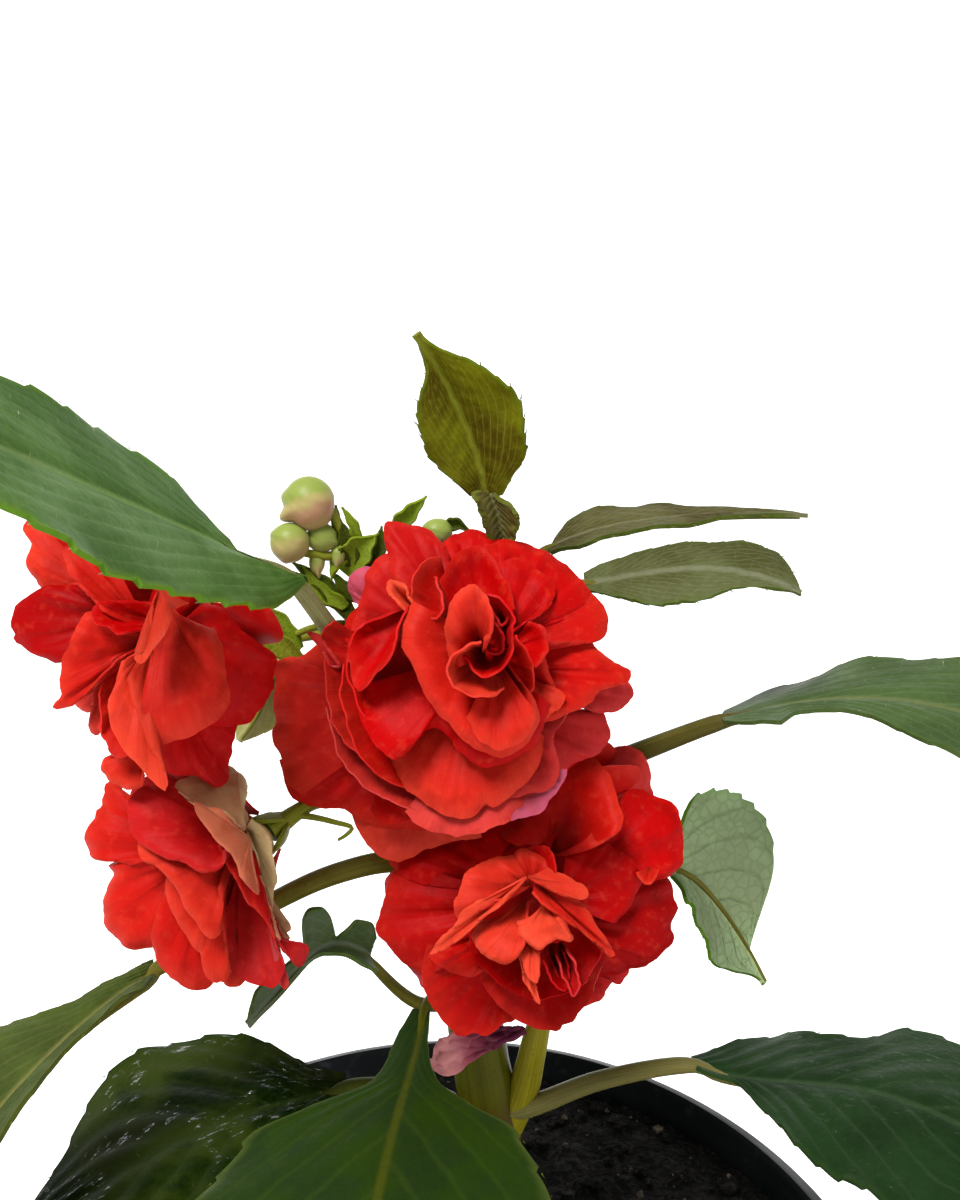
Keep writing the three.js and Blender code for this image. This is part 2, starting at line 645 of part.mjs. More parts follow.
/** Points of a petal in its bloom's own frame, the axis along +Z, from root to lip. */
function petalGrid({ root, length, width, open, cup, ruffle }, angle, phase) {
  const steps = 24;
  const lean = (k) => radians(lerp(open[0], open[1], (k / steps) ** 1.3));
  const spine = [root];
  for (let k = 1; k <= steps; k++) {
    const middle = (lean(k) + lean(k - 1)) / 2;
    const [r, h] = spine[k - 1];
    spine.push([r + (length / steps) * Math.sin(middle), h + (length / steps) * Math.cos(middle)]);
  }
  const outward = new THREE.Vector3(Math.cos(angle), Math.sin(angle), 0);
  const sideways = new THREE.Vector3(-Math.sin(angle), Math.cos(angle), 0);
  const rows = 3;
  const columns = open[1] > 70 ? 4 : 3;
  const grid = [];
  for (let i = 0; i <= rows; i++) {
    const row = [];
    for (let j = 0; j <= columns; j++) {
      const v = (2 * j) / columns - 1;
      const lip = 1 - 0.42 * Math.abs(v) ** 2.6 - 0.08 * Math.exp(-((v / 0.22) ** 2));
      const s = (i / rows) * lip;
      const k = Math.min(Math.floor(s * steps), steps - 1);
      const r = lerp(spine[k][0], spine[k + 1][0], s * steps - k);
      const h = lerp(spine[k][1], spine[k + 1][1], s * steps - k);
      const tilt = lean(s * steps);
      const half = width * (0.07 + 0.93 * Math.sin((Math.PI / 2) * Math.min(1, s / 0.82)) ** 1.55);
      const wave = 0.5 * ruffle * width * s ** 1.8 * Math.sin(4.2 * v + phase);
      const rise = cup * half * v * v + OVERLAP * half * v + wave;
      const point = outward.clone().multiplyScalar(r - rise * Math.cos(tilt));
      point.addScaledVector(sideways, v * half).add(new THREE.Vector3(0, 0, h + rise * Math.sin(tilt)));
      row.push(point);
    }
    grid.push(row);
  }
  return grid;
}

/** Turn and shift that carries a bloom's own frame to its place on the plant. */
function bloomPlace({ heart, axis }) {
  const forward = vec(axis).normalize();
  const across = new THREE.Vector3(0, 0, 1).cross(forward).normalize();
  const up = forward.clone().cross(across);
  return new THREE.Matrix4().makeBasis(across, up, forward).setPosition(vec(heart));
}

function makeBloom(bloom, series) {
  const place = bloomPlace(bloom);
  const pieces = [solid(new THREE.IcosahedronGeometry(CORE_RADIUS, 0).applyMatrix4(place))];
  bloom.rings.forEach((ring, r) =>
    ring.angles.forEach((degrees, i) => {
      const number = 20 * r + i;
      const grown = { ...ring, length: ring.length * (0.94 + 0.12 * draw(number, series)) };
      const grid = petalGrid(grown, radians(degrees), 6.28 * draw(number, series + 10));
      grid.flat().forEach((point) => point.applyMatrix4(place));
      pieces.push(sheet(grid, PETAL_THICKNESS));
    }),
  );
  return fuse(pieces);
}

/** Stalk of a bloom, with three small sepals spread behind the petals. */
function makeStalk(bloom, shootClearance) {
  const place = bloomPlace(bloom);
  const behind = (across, up, back) => new THREE.Vector3(across, up, -back).applyMatrix4(place);
  const end = CORE_RADIUS + GAP;
  const path = [...bloom.stalk.map(vec), behind(0, 0, end + 5), behind(0, 0, end)];
  const curve = new THREE.CatmullRomCurve3(path, false, "centripetal");
  const pieces = [stem(curve, [1.1, 0.9, 0.9, 0.9, 1.5], 8, 5)];
  for (const angle of [90, 210, 330].map(radians)) {
    const reach = (out, back) => behind(out * Math.cos(angle), out * Math.sin(angle), back);
    const path = [reach(0, end + 1.2), reach(3, end + 1.2), reach(5.5, end - 0.6)];
    pieces.push(stem(new THREE.QuadraticBezierCurve3(...path), [0.9, 0.9, 0.3], 2, 4));
  }
  return fuse(pieces, [shootClearance]);
}

// ---------------------------------------------------------------- buds and a fallen petal

// Each spray is its stalks, each with a bud or a narrow leaflet at its end.
const SPRAYS = {
  bud_spray_left: {
    stalks: [
      [[5, 9, 202], [-2, 9, 206], [-8, 7, 209.5], [-11.5, 6, 213], [-13.6, 5, 215.6]],
      [[-8, 7, 209.5], [-13, 5.5, 209.5], [-17, 3.5, 211]],
      [[-9.5, 6.6, 210.5], [-12.5, 6, 211], [-14.6, 5, 211.6]],
    ],
    buds: [
      { at: [-16.3, 4, 217], size: [3.3, 3.2, 3.4] },
      { at: [-18.6, 3, 212.2], size: [2.7, 2.3, 2.2] },
      { at: [-15.2, 5, 211.6], size: [1.7, 1.6, 1.9] },
      { at: [-9.6, 6, 211.4], size: [2.3, 2, 2.4] },
    ],
    leaflets: [
      [[-10, 6.5, 211], [-11.6, 6.2, 213.5], [-12.2, 6, 216.2]],
      [[-8, 6.5, 211], [-5.2, 6.2, 213.8], [-2, 6, 217.4]],
      [[-12.5, 6, 210], [-14.5, 6, 207.5], [-17, 5.5, 206.5]],
    ],
  },
  bud_spray_middle: {
    stalks: [[[6, 9, 204.5], [2.5, 6.8, 209.5], [-0.4, 4.6, 212.5]]],
    buds: [{ at: [-0.9, 4, 213.8], size: [2.2, 2, 2.1] }],
    leaflets: [[[0.6, 4.8, 212], [2.2, 4.2, 214.2], [4, 3.6, 215.2]]],
  },
};

function makeSpray({ stalks, buds, leaflets }, shootClearance) {
  const pieces = stalks.map((path) => stem(route(path), [0.9, 0.8, 0.7], 4, 5));
  for (const { at, size } of buds) {
    const detail = size[2] > 2 ? 1 : 0;
    pieces.push(solid(new THREE.IcosahedronGeometry(1, detail).scale(...size).translate(...at)));
  }
  for (const path of leaflets) {
    pieces.push(stem(route(path), [0.8, 1.1, 0.3], 3, 4));
  }
  return fuse(pieces, [shootClearance]);
}

/** A faded petal that has dropped onto the foot of the front leaf. */
const SPENT_PETAL = {
  rib: [[-2, -2, 142], [1.5, -2, 144], [5.5, -1.5, 145.5], [10.5, 0, 146]],
  left: [[-1, 1, 3], [-1, 1, 2.5]],
  right: [[1, -1, -2.5], [1, -1, -2]],
  widest: 0.45, fullness: 0.6, wave: 0.3,
};

// ---------------------------------------------------------------- the plant

const plant = new THREE.Group();
const shoot = makeShoot();
const shootClearance = makeShoot(GAP);

plant.add(part("pot", makePot(), COLOURS.pot, 0.5));
plant.add(part("soil", makeSoil(), COLOURS.soil, 0.95));
plant.add(part("main_stem", shoot, COLOURS.stem));
Object.entries(LEAVES).forEach(([name, leaf], series) => {
  plant.add(part(name, makeLeaf(leaf, series, shootClearance), COLOURS[leaf.colour ?? "leaf"]));
});
Object.entries(BLOOMS).forEach(([name, bloom], series) => {
  plant.add(part(name, makeBloom(bloom, series), COLOURS.petal, 0.5));
  plant.add(part(name.replace("bloom", "stalk"), makeStalk(bloom, shootClearance), COLOURS.stem));
});
Object.entries(SPRAYS).forEach(([name, spray]) => {
  plant.add(part(name, makeSpray(spray, shootClearance), COLOURS.bud));
});
plant.add(part("spent_petal", sheet(bladeGrid(SPENT_PETAL, 8, 40), PETAL_THICKNESS), COLOURS.spentPetal));

export default plant;
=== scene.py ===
"""A double-flowered busy lizzie in its nursery pot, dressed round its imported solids.

Tables give places and sizes in millimetres, in the frame of the pot's base: +X to the
plant's right, +Y to its back, +Z up. Meshes are written in metres.
"""

import logging
import math
import random
from dataclasses import dataclass
from enum import Enum
from typing import Callable, Iterable, Sequence, Union

import bmesh
import bpy
from mathutils import Matrix, Vector, noise


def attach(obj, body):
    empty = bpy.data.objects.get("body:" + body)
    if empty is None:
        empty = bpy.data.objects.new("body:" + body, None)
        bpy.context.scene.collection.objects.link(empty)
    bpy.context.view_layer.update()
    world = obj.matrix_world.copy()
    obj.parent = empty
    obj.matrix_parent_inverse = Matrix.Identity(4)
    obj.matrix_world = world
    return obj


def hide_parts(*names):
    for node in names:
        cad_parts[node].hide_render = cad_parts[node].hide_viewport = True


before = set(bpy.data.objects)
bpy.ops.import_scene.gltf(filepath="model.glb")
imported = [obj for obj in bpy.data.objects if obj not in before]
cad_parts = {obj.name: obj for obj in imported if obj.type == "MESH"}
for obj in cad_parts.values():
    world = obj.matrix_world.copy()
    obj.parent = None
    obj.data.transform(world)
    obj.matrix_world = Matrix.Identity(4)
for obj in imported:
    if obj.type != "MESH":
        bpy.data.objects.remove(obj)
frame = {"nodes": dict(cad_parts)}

Vec = tuple[float, float, float]
Pair = tuple[float, float]
Half = tuple[Vec, Vec]
Rib = tuple[Vec, Vec, Vec, Vec]
Colour = tuple[float, float, float, float]
Piece = bpy.types.Object
Socket = bpy.types.NodeSocket
Input = Union[Socket, float, Sequence[float]]
Mark = Union[float, Callable[[float, float], float]]

MM = 0.001  # a millimetre in metres
BODY = "root"
TURN = 6.28  # a full turn, rounded, that phases are drawn from
NOISE_SEED = 11  # without it the noise vectors follow the clock

log = logging.getLogger("busy_lizzie")


class Slot(Enum):
    """Names of the material slots, one for each kind of piece."""

    POT = "pot"
    SOIL = "soil"
    STEM = "stem"
    LEAF = "leaf"
    YOUNG = "young_leaf"
    DARK = "dark_leaf"
    PALE = "pale_leaf"
    PETAL = "petal"
    SPENT = "spent_petal"
    BUD = "bud"


# ------------------------------------------------------------------ small helpers


def lerp(first: float, second: float, share: float) -> float:
    """Value between two numbers."""
    return first + (second - first) * share


def clamp01(value: float) -> float:
    """Value held between 0 and 1."""
    return min(max(value, 0.0), 1.0)


def ease(value: float) -> float:
    """Smooth step from 0 to 1."""
    return clamp01(value) ** 2 * (3 - 2 * clamp01(value))


def draw(item: float, series: float) -> float:
    """A repeatable draw between 0 and 1 for one item of a series."""
    value = math.sin(item * 12.9898 + series * 78.233) * 43758.5453
    return value - math.floor(value)


def bell(off: float, width: float) -> float:
    """A bump that is 1 in its middle and fades over a width."""
    return math.exp(-((off / width) ** 2))


def between(half: Half, share: float) -> Vector:
    """Reach of half a sheet at a share along it, from its reach at the base and at the tip."""
    return Vector(half[0]).lerp(Vector(half[1]), share)


def polar(angle: float, radius: float = 1.0, height: float = 0.0) -> Vector:
    """A point at an angle and a distance from the upright axis."""
    return Vector((radius * math.cos(angle), radius * math.sin(angle), height))


def step(share: float, count: int) -> tuple[int, float]:
    """Gap between evenly spaced values that a share falls in, and how far into it."""
    at = clamp01(share) * (count - 1)
    return min(int(at), count - 2), at - min(int(at), count - 2)


class RibCurve:
    """Cubic curve that passes through four points at 0, 1/3, 2/3 and 1 of its length."""

    def __init__(self, points: Rib) -> None:
        """Finds the two handles between the end points."""
        a, b, c, d = map(Vector, points)
        self.corners = (a, (-5 * a + 18 * b - 9 * c + 2 * d) / 6, (2 * a - 9 * b + 18 * c - 5 * d) / 6, d)

    def point(self, share: float) -> Vector:
        """Place at a share of the way along."""
        (a, b, c, d), rest = self.corners, 1 - share
        return a * rest**3 + 3 * b * rest**2 * share + 3 * c * rest * share**2 + d * share**3

    def tangent(self, share: float) -> Vector:
        """Direction at a share of the way along."""
        (a, b, c, d), rest = self.corners, 1 - share
        return (3 * rest**2 * (b - a) + 6 * rest * share * (c - b) + 3 * share**2 * (d - c)).normalized()


def route(points: Sequence[Sequence[float]], count: int, fine: int = 24) -> list[Vector]:
    """Evenly spaced places on a smooth curve through any number of points.

    Args:
        points: What the curve passes through.
        count: How many places are returned.
        fine: How many short steps each stretch is measured in.

    Returns:
        The places from the first point to the last.
    """
    knots = [Vector(p) for p in points]
    knots = [2 * knots[0] - knots[1], *knots, 2 * knots[-1] - knots[-2]]
    dense: list[Vector] = []
    for a, b, c, d in zip(knots, knots[1:], knots[2:], knots[3:]):
        gaps = [max((q - p).length ** 0.5, 1e-4) for p, q in ((a, b), (b, c), (c, d))]
        slope_b = ((b - a) / gaps[0] - (c - a) / (gaps[0] + gaps[1]) + (c - b) / gaps[1]) * gaps[1]
        slope_c = ((c - b) / gaps[1] - (d - b) / (gaps[1] + gaps[2]) + (d - c) / gaps[2]) * gaps[1]
        for x in (k / fine for k in range(fine)):
            dense.append(
                b * (2 * x**3 - 3 * x**2 + 1) + slope_b * (x**3 - 2 * x**2 + x)
                + c * (3 * x**2 - 2 * x**3) + slope_c * (x**3 - x**2)
            )
    dense.append(knots[-2])
    lengths = [0.0]
    for before, after in zip(dense, dense[1:]):
        lengths.append(lengths[-1] + (after - before).length)
    places, k = [], 0
    for i in range(count):
        wanted = lengths[-1] * i / (count - 1)
        while k < len(dense) - 2 and lengths[k + 1] < wanted:
            k += 1
        gap = max(lengths[k + 1] - lengths[k], 1e-9)
        places.append(dense[k].lerp(dense[k + 1], clamp01((wanted - lengths[k]) / gap)))
    return places


def along(values: Sequence[float], share: float) -> float:
    """Value at a share of the way through a list of evenly spaced values."""
    k, part = step(share, len(values))
    return lerp(values[k], values[k + 1], part)


def smooth(values: Sequence[float], share: float) -> float:
    """Value at a share along evenly spaced numbers, rounded where they turn, never beyond them.

    Args:
        values: The numbers.
        share: How far along them, from 0 to 1.

    Returns:
        The value there.
    """
    k, x = step(share, len(values))
    rises = [after - before for before, after in zip(values, values[1:])]

    def slope(first: float, second: float) -> float:
        """Slope between two rises, level where they turn back."""
        return 2 * first * second / (first + second) if first * second > 0 else 0.0

    here = rises[k]
    start = slope(rises[k - 1], here) if k else here
    end = slope(here, rises[k + 1]) if k + 1 < len(rises) else here
    curve = (x**3 - 2 * x * x + x) * start + (x**3 - x * x) * end
    return values[k] + (3 * x * x - 2 * x**3) * here + curve


# ------------------------------------------------------------------ modelling by hand


def fresh() -> None:
    """Leaves nothing selected, so that the next operator acts on its own piece alone."""
    bpy.ops.object.select_all(action="DESELECT")


def only(piece: Piece) -> Piece:
    """Makes one object the selected and active one.

    Args:
        piece: The object.

    Returns:
        The same object.
    """
    fresh()
    piece.select_set(True)
    bpy.context.view_layer.objects.active = piece
    return piece


def placed(name: str, data: bpy.types.ID) -> Piece:
    """A new object in the scene.

    Args:
        name: Its name.
        data: Its mesh, curve, light or camera.

    Returns:
        The object.
    """
    new = bpy.data.objects.new(name, data)
    bpy.context.collection.objects.link(new)
    return new


def apply_modifiers(piece: Piece) -> None:
    """Applies every modifier of a piece, in order."""
    for modifier in list(only(piece).modifiers):
        bpy.ops.object.modifier_apply(modifier=modifier.name)


def joined(name: str, pieces: Sequence[Piece]) -> Piece:
    """One object of several, with the materials of all of them.

    Args:
        name: Name of the new object and its mesh.
        pieces: What is joined, which is used up.

    Returns:
        The joined object.
    """
    fresh()
    for piece in pieces:
        piece.select_set(True)
    bpy.context.view_layer.objects.active = pieces[0]
    if len(pieces) > 1:
        bpy.ops.object.join()
    whole = bpy.context.object
    whole.name = whole.data.name = name
    return whole


def add_mark(piece: Piece, name: str, values: Sequence[float]) -> None:
    """Keeps a number for each vertex on a mesh, for its material to read."""
    piece.data.attributes.new(name, "FLOAT", "POINT").data.foreach_set("value", values)


def spread(columns: int, rows: int, place: Callable[[float, float], Vector], **marks: Mark) -> Piece:
    """A sheet laid out from a flat grid by a rule.

    Args:
        columns: Cells across.
        rows: Cells along.
        place: Gives the point in millimetres for a share along (0 to 1) and across (-1 to 1).
        **marks: Values or rules like place, kept on the mesh as attributes of that name.

    Returns:
        The grid's object, with its UV map across and along.
    """
    fresh()
    bpy.ops.mesh.primitive_grid_add(x_subdivisions=columns, y_subdivisions=rows, size=2)
    sheet = bpy.context.object
    flat = [((v.co.y + 1) / 2, v.co.x) for v in sheet.data.vertices]
    for name, rule in marks.items():
        add_mark(sheet, name, [rule(s, t) if callable(rule) else rule for s, t in flat])
    for vertex, (s, t) in zip(sheet.data.vertices, flat):
        vertex.co = place(s, t) * MM
    return sheet


def thicken(sheet: Piece, thickness: float, back: int = 1, rim: int = 0) -> None:
    """Gives a sheet its thickness.

    Args:
        sheet: The sheet.
        thickness: The thickness in millimetres.
        back: How many materials on from the face's the back takes its own.
        rim: The same for the edge.
    """
    wall = sheet.modifiers.new("wall", "SOLIDIFY")
    wall.thickness, wall.offset = thickness * MM, 0
    wall.material_offset, wall.material_offset_rim = back, rim
    apply_modifiers(sheet)


def turn_over(sheet: Piece) -> None:
    """Turns the faces of a sheet to its other side.

    Args:
        sheet: The sheet.
    """
    only(sheet)
    bpy.ops.object.mode_set(mode="EDIT")
    bpy.ops.mesh.select_all(action="SELECT")
    bpy.ops.mesh.flip_normals()
    bpy.ops.object.mode_set(mode="OBJECT")


def tube(points: Sequence[Vector], radii: Sequence[float], sides: int = 12) -> Piece:
    """A round stem swept along a path, closed at both ends.

    Args:
        points: The path in millimetres.
        radii: Radii in millimetres, spread evenly from start to end.
        sides: How many sides the section has, a multiple of four.

    Returns:
        The stem's mesh object.
    """
    curve = bpy.data.curves.new("stem", "CURVE")
    curve.dimensions, curve.bevel_depth, curve.use_fill_caps = "3D", MM, True
    curve.bevel_resolution = sides // 2 - 2
    path = curve.splines.new("POLY")
    path.points.add(len(points) - 1)
    for i, (knot, point) in enumerate(zip(path.points, points)):
        knot.co = (*(point * MM), 1)
        knot.radius = along(radii, i / (len(points) - 1))
    only(placed("stem", curve))
    bpy.ops.object.convert(target="MESH")
    return bpy.context.object


def copies(name: str, model: Piece, places: Iterable[Matrix]) -> Piece:
    """One mesh of many copies of a small model, which is used up.

    Args:
        name: Name of the new object.
        model: What is repeated.
        places: Where each copy goes, in metres.

    Returns:
        The object with all the copies.
    """
    gathered = bmesh.new()
    for place in places:
        start = len(gathered.verts)
        gathered.from_mesh(model.data)
        gathered.verts.ensure_lookup_table()
        bmesh.ops.transform(gathered, matrix=place, verts=gathered.verts[start:])
    mesh = bpy.data.meshes.new(name)
    gathered.to_mesh(mesh)
    gathered.free()
    crowd = coat(placed(name, mesh), *model.data.materials)
    bpy.data.objects.remove(model)
    return crowd


def coat(piece: Piece, *materials: bpy.types.Material) -> Piece:
    """Gives a piece its materials.

    Args:
        piece: The piece.
        *materials: The materials, in slot order.

    Returns:
        The same piece.
    """
    piece.data.materials.clear()
    for material in materials:
        piece.data.materials.append(material)
    return piece


def settle(piece: Piece, name: str, slot: Slot, *nodes: str, angle: float = 60) -> Piece:
    """Finishes a piece: smooth shading, its name, its body and what it stands for.

    Args:
        piece: The mesh object, in place.
        name: Its name.
        slot: A material slot; not used.
        *nodes: CAD nodes that it replaces.
        angle: Edges sharper than this many degrees stay sharp.

    Returns:
        The same piece.
    """
    only(piece)
    bpy.ops.object.shade_smooth_by_angle(angle=math.radians(angle))
    piece.name = piece.data.name = name
    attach(piece, BODY)
    if nodes:
        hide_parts(*nodes)
    log.info("%s: %d faces", name, len(piece.data.polygons))
    return piece


# ------------------------------------------------------------------ materials


class Shader:
    """A node material, written as sums of its nodes' outputs."""

    def __init__(self, name: str) -> None:
        """Starts a material with one Principled shader.

        Args:
            name: The material's name.
        """
        self.material = bpy.data.materials.new(name)
        self.material.use_nodes = True
        self.tree = self.material.node_tree
        self.body = self.tree.nodes["Principled BSDF"]
        self.coords = self.node("ShaderNodeTexCoord")

    def node(self, kind: str, **settings: str) -> bpy.types.Node:
        """A new node.

        Args:
            kind: Its type.
            **settings: Its settings.

        Returns:
            The node.
        """
        new = self.tree.nodes.new(kind)
        for name, value in settings.items():
            setattr(new, name, value)
        return new

    def feed(self, socket: Socket, value: Input) -> None:
        """Links or sets one input.

        Args:
            socket: The input.
            value: Another node's output, or what the input is set to.
        """
        if isinstance(value, Socket):
            self.tree.links.new(value, socket)
        else:
            socket.default_value = value

    def set(self, **values: Input) -> None:
        """Sets or links inputs of the shader, an underscore standing for a space."""
        for name, value in values.items():
            self.feed(self.body.inputs[name.replace("_", " ")], value)

    def maths(self, operation: str, *values: Input) -> Socket:
        """Result of one Math node.

        Args:
            operation: What it does.
            *values: What it works on.

        Returns:
            The node's output.
        """
        new = self.node("ShaderNodeMath", operation=operation)
        for socket, value in zip(new.inputs, values):
            self.feed(socket, value)
        return new.outputs[0]

    def times(self, first: Input, second: Input) -> Socket:
        """Product of two values."""
        return self.maths("MULTIPLY", first, second)

    def plus(self, first: Input, second: Input) -> Socket:
        """Sum of two values."""
        return self.maths("ADD", first, second)

    def span(self, value: Input, low: float, high: float, to: Pair = (0.0, 1.0)) -> Socket:
        """A value carried smoothly from one range to another.

        Args:
            value: The value.
            low: Start of its own range.
            high: End of its own range.
            to: The range that it is carried to.

        Returns:
            The node's output.
        """
        new = self.node("ShaderNodeMapRange", interpolation_type="SMOOTHSTEP")
        for socket, number in zip(new.inputs, (value, low, high, *to)):
            self.feed(socket, number)
        return new.outputs[0]

    def mix(self, share: Input, first: Input, second: Input) -> Socket:
        """A colour between two others.

        Args:
            share: How much of the second there is.
            first: One colour.
            second: The other.

        Returns:
            The node's output.
        """
        new = self.node("ShaderNodeMix", data_type="RGBA")
        for name, value in (("Factor_Float", share), ("A_Color", first), ("B_Color", second)):
            self.feed(next(s for s in new.inputs if s.identifier == name), value)
        return next(s for s in new.outputs if s.identifier == "Result_Color")

    def wash(self, under: Input, over: Colour, by: Input, low: float, high: float,
             to: Pair = (0.0, 1.0)) -> Socket:
        """A colour washed over another where a value passes through a range.

        Args:
            under: The colour below.
            over: The colour on top.
            by: The value.
            low: Where the wash starts.
            high: Where it ends.
            to: How strong it is at its start and at its end.

        Returns:
            The node's output.
        """
        return self.mix(self.span(by, low, high, to), under, over)

    def mark(self, name: str) -> Socket:
        """A number kept on the mesh."""
        return self.node("ShaderNodeAttribute", attribute_name=name).outputs["Fac"]

    def parts(self, space: str) -> bpy.types.bpy_prop_collection:
        """The separate numbers of a place.

        Args:
            space: UV or Object.

        Returns:
            The outputs across, along and up.
        """
        new = self.node("ShaderNodeSeparateXYZ")
        self.feed(new.inputs[0], self.coords.outputs[space])
        return new.outputs

    def noise(self, scale: float, detail: float = 3, stretch: Vec | None = None) -> Socket:
        """Cloudy pattern on the object, or stretched over its UV map.

        Args:
            scale: How many clouds there are to a metre, or to a unit of the stretch.
            detail: How ragged they are.
            stretch: How many there are across and along the UV map.

        Returns:
            The node's output.
        """
        new = self.node("ShaderNodeTexNoise")
        new.inputs["Scale"].default_value = scale
        new.inputs["Detail"].default_value = detail
        source = self.coords.outputs["UV" if stretch else "Object"]
        if stretch:
            turned = self.node("ShaderNodeMapping")
            self.feed(turned.inputs["Vector"], source)
            turned.inputs["Scale"].default_value = stretch
            source = turned.outputs[0]
        self.feed(new.inputs["Vector"], source)
        return new.outputs["Fac"]

    def cells(self, scale: float, feature: str = "DISTANCE_TO_EDGE") -> Socket:
        """Cell pattern on the object.

        Args:
            scale: How many cells there are to a metre.
            feature: What is given of them, by default the distance to their borders.

        Returns:
            The node's output.
        """
        new = self.node("ShaderNodeTexVoronoi", feature=feature)
        new.inputs["Scale"].default_value = scale
        self.feed(new.inputs["Vector"], self.coords.outputs["Object"])
        return new.outputs["Distance"]

    def bump(self, height: Input, depth: float, strength: float = 1.0) -> None:
        """Relief on top of any there is.

        Args:
            height: The pattern.
            depth: How deep it is, in millimetres.
            strength: How much of it shows.
        """
        new = self.node("ShaderNodeBump")
        new.inputs["Strength"].default_value = strength
        new.inputs["Distance"].default_value = depth * MM
        self.feed(new.inputs["Height"], height)
        before = self.body.inputs["Normal"].links
        if before:
            self.feed(new.inputs["Normal"], before[0].from_socket)
        self.set(Normal=new.outputs[0])


def rgb(red: float, green: float, blue: float) -> Colour:
    """Opaque colour in linear light."""
    return (red, green, blue, 1.0)


@dataclass(frozen=True)
class VeinPattern:
    """How the side veins run in a leaf."""

    pairs: int = 7
    lead: float = 0.46
    bend: float = 1.1
    stagger: float = 0.45

    def order(self, s: float, t: float) -> float:
        """Number of the vein at a place; whole numbers lie on a vein."""
        return self.pairs * (s - self.lead * abs(t) ** self.bend) + (self.stagger if t > 0 else 0)


WIDE = VeinPattern()
STEEP = VeinPattern(6, 0.9, 0.9)
FEW = VeinPattern(5, 0.7, 1.0)
ARCHED = VeinPattern(8, 1.0, 0.85)


@dataclass(frozen=True)
class LeafFinish:
    """Finish of one face of a leaf: its greens, its veins and its gloss."""

    name: str
    green: Colour
    blotch: Colour
    vein: Colour
    margin: Colour
    vein_share: float = 0.5
    rib: Colour | None = None
    net: float = 0.25
    roughness: float = 0.42
    wet: float = 0.0
    gloss: float = 0.12
    scratch: float = 0.0
    veins: VeinPattern = WIDE

    relief = 0.5
    raised_net = 0.4
    drop_stretch = (52, 17, 1)
    scratch_stretch = (9, 240, 1)
    scratch_colour = rgb(0.42, 0.48, 0.3)

    def side_veins(self, paint: Shader) -> tuple[Socket, Socket]:
        """The pattern of the side veins.

        Args:
            paint: The material.

        Returns:
            How far a place is from the midrib, and how much of a side vein it is.
        """
        across, length, _ = paint.parts("UV")
        side = paint.maths("SUBTRACT", paint.times(across, 2.0), 1.0)
        reach = paint.maths("ABSOLUTE", side)
        lead = paint.times(paint.maths("POWER", reach, self.veins.bend), self.veins.lead)
        order = paint.times(paint.maths("SUBTRACT", length, lead), float(self.veins.pairs))
        shift = paint.times(paint.maths("GREATER_THAN", side, 0.0), self.veins.stagger)
        wander = paint.times(paint.noise(300, 2), 0.22)
        nearest = paint.maths("PINGPONG", paint.plus(paint.plus(order, shift), wander), 0.5)
        vein = paint.span(nearest, 0.0, 0.12, (1.0, 0.0))
        return reach, paint.times(vein, paint.span(reach, 0.72, 1.0, (1.0, 0.1)))

    def wetting(self, paint: Shader) -> None:
        """Glints of water that lies in streaks on the leaf.

        Args:
            paint: The material.
        """
        drops = paint.span(paint.noise(1, 5, self.drop_stretch), 0.57, 0.6)
        drops = paint.times(drops, paint.span(paint.noise(85, 2), 0.47, 0.51))
        swell = paint.node("ShaderNodeBump")
        swell.inputs["Distance"].default_value = 0.5 * MM
        paint.feed(swell.inputs["Height"], paint.noise(1100, 2))
        paint.set(Coat_Weight=paint.times(drops, self.wet), Coat_Roughness=0.04,
                  Coat_Normal=swell.outputs[0])

    def make(self) -> bpy.types.Material:
        """Builds the material.

        Returns:
            The material.
        """
        paint = Shader(self.name)
        reach, vein = self.side_veins(paint)
        rib = paint.span(paint.mark("rib"), 0.15, 0.85, (1.0, 0.0))
        net = paint.span(paint.cells(620), 0.02, 0.14, (1.0, 0.0))
        clouds, fine = paint.noise(120, 4), paint.noise(1400, 3)
        colour = paint.mix(paint.span(clouds, 0.38, 0.62), self.green, self.blotch)
        colour = paint.wash(colour, self.margin, reach, 0.9, 1.0, (0.0, 0.8))
        colour = paint.mix(paint.times(net, self.net), colour, self.vein)
        colour = paint.mix(paint.times(vein, self.vein_share), colour, self.vein)
        colour = paint.mix(paint.times(rib, 0.85), colour, self.rib or self.vein)
        colour = paint.wash(colour, self.blotch, fine, 0.3, 0.7, (0.0, 0.22))
        if self.scratch:
            marks = paint.span(paint.noise(1, 5, self.scratch_stretch), 0.66, 0.76)
            marks = paint.times(marks, paint.span(fine, 0.4, 0.6))
            colour = paint.mix(paint.times(marks, self.scratch), colour, self.scratch_colour)
        rough = paint.span(clouds, 0.35, 0.65, (self.roughness - 0.07, self.roughness + 0.09))
        paint.set(Base_Color=colour, Roughness=rough, Specular_IOR_Level=self.gloss)
        if self.wet:
            self.wetting(paint)
        relief = -self.relief if self.net < self.raised_net else self.relief
        paint.bump(fine, 0.08)
        paint.bump(net, 0.1, relief)
        paint.bump(paint.maths("MAXIMUM", vein, rib), 0.3, relief)
        return paint.material


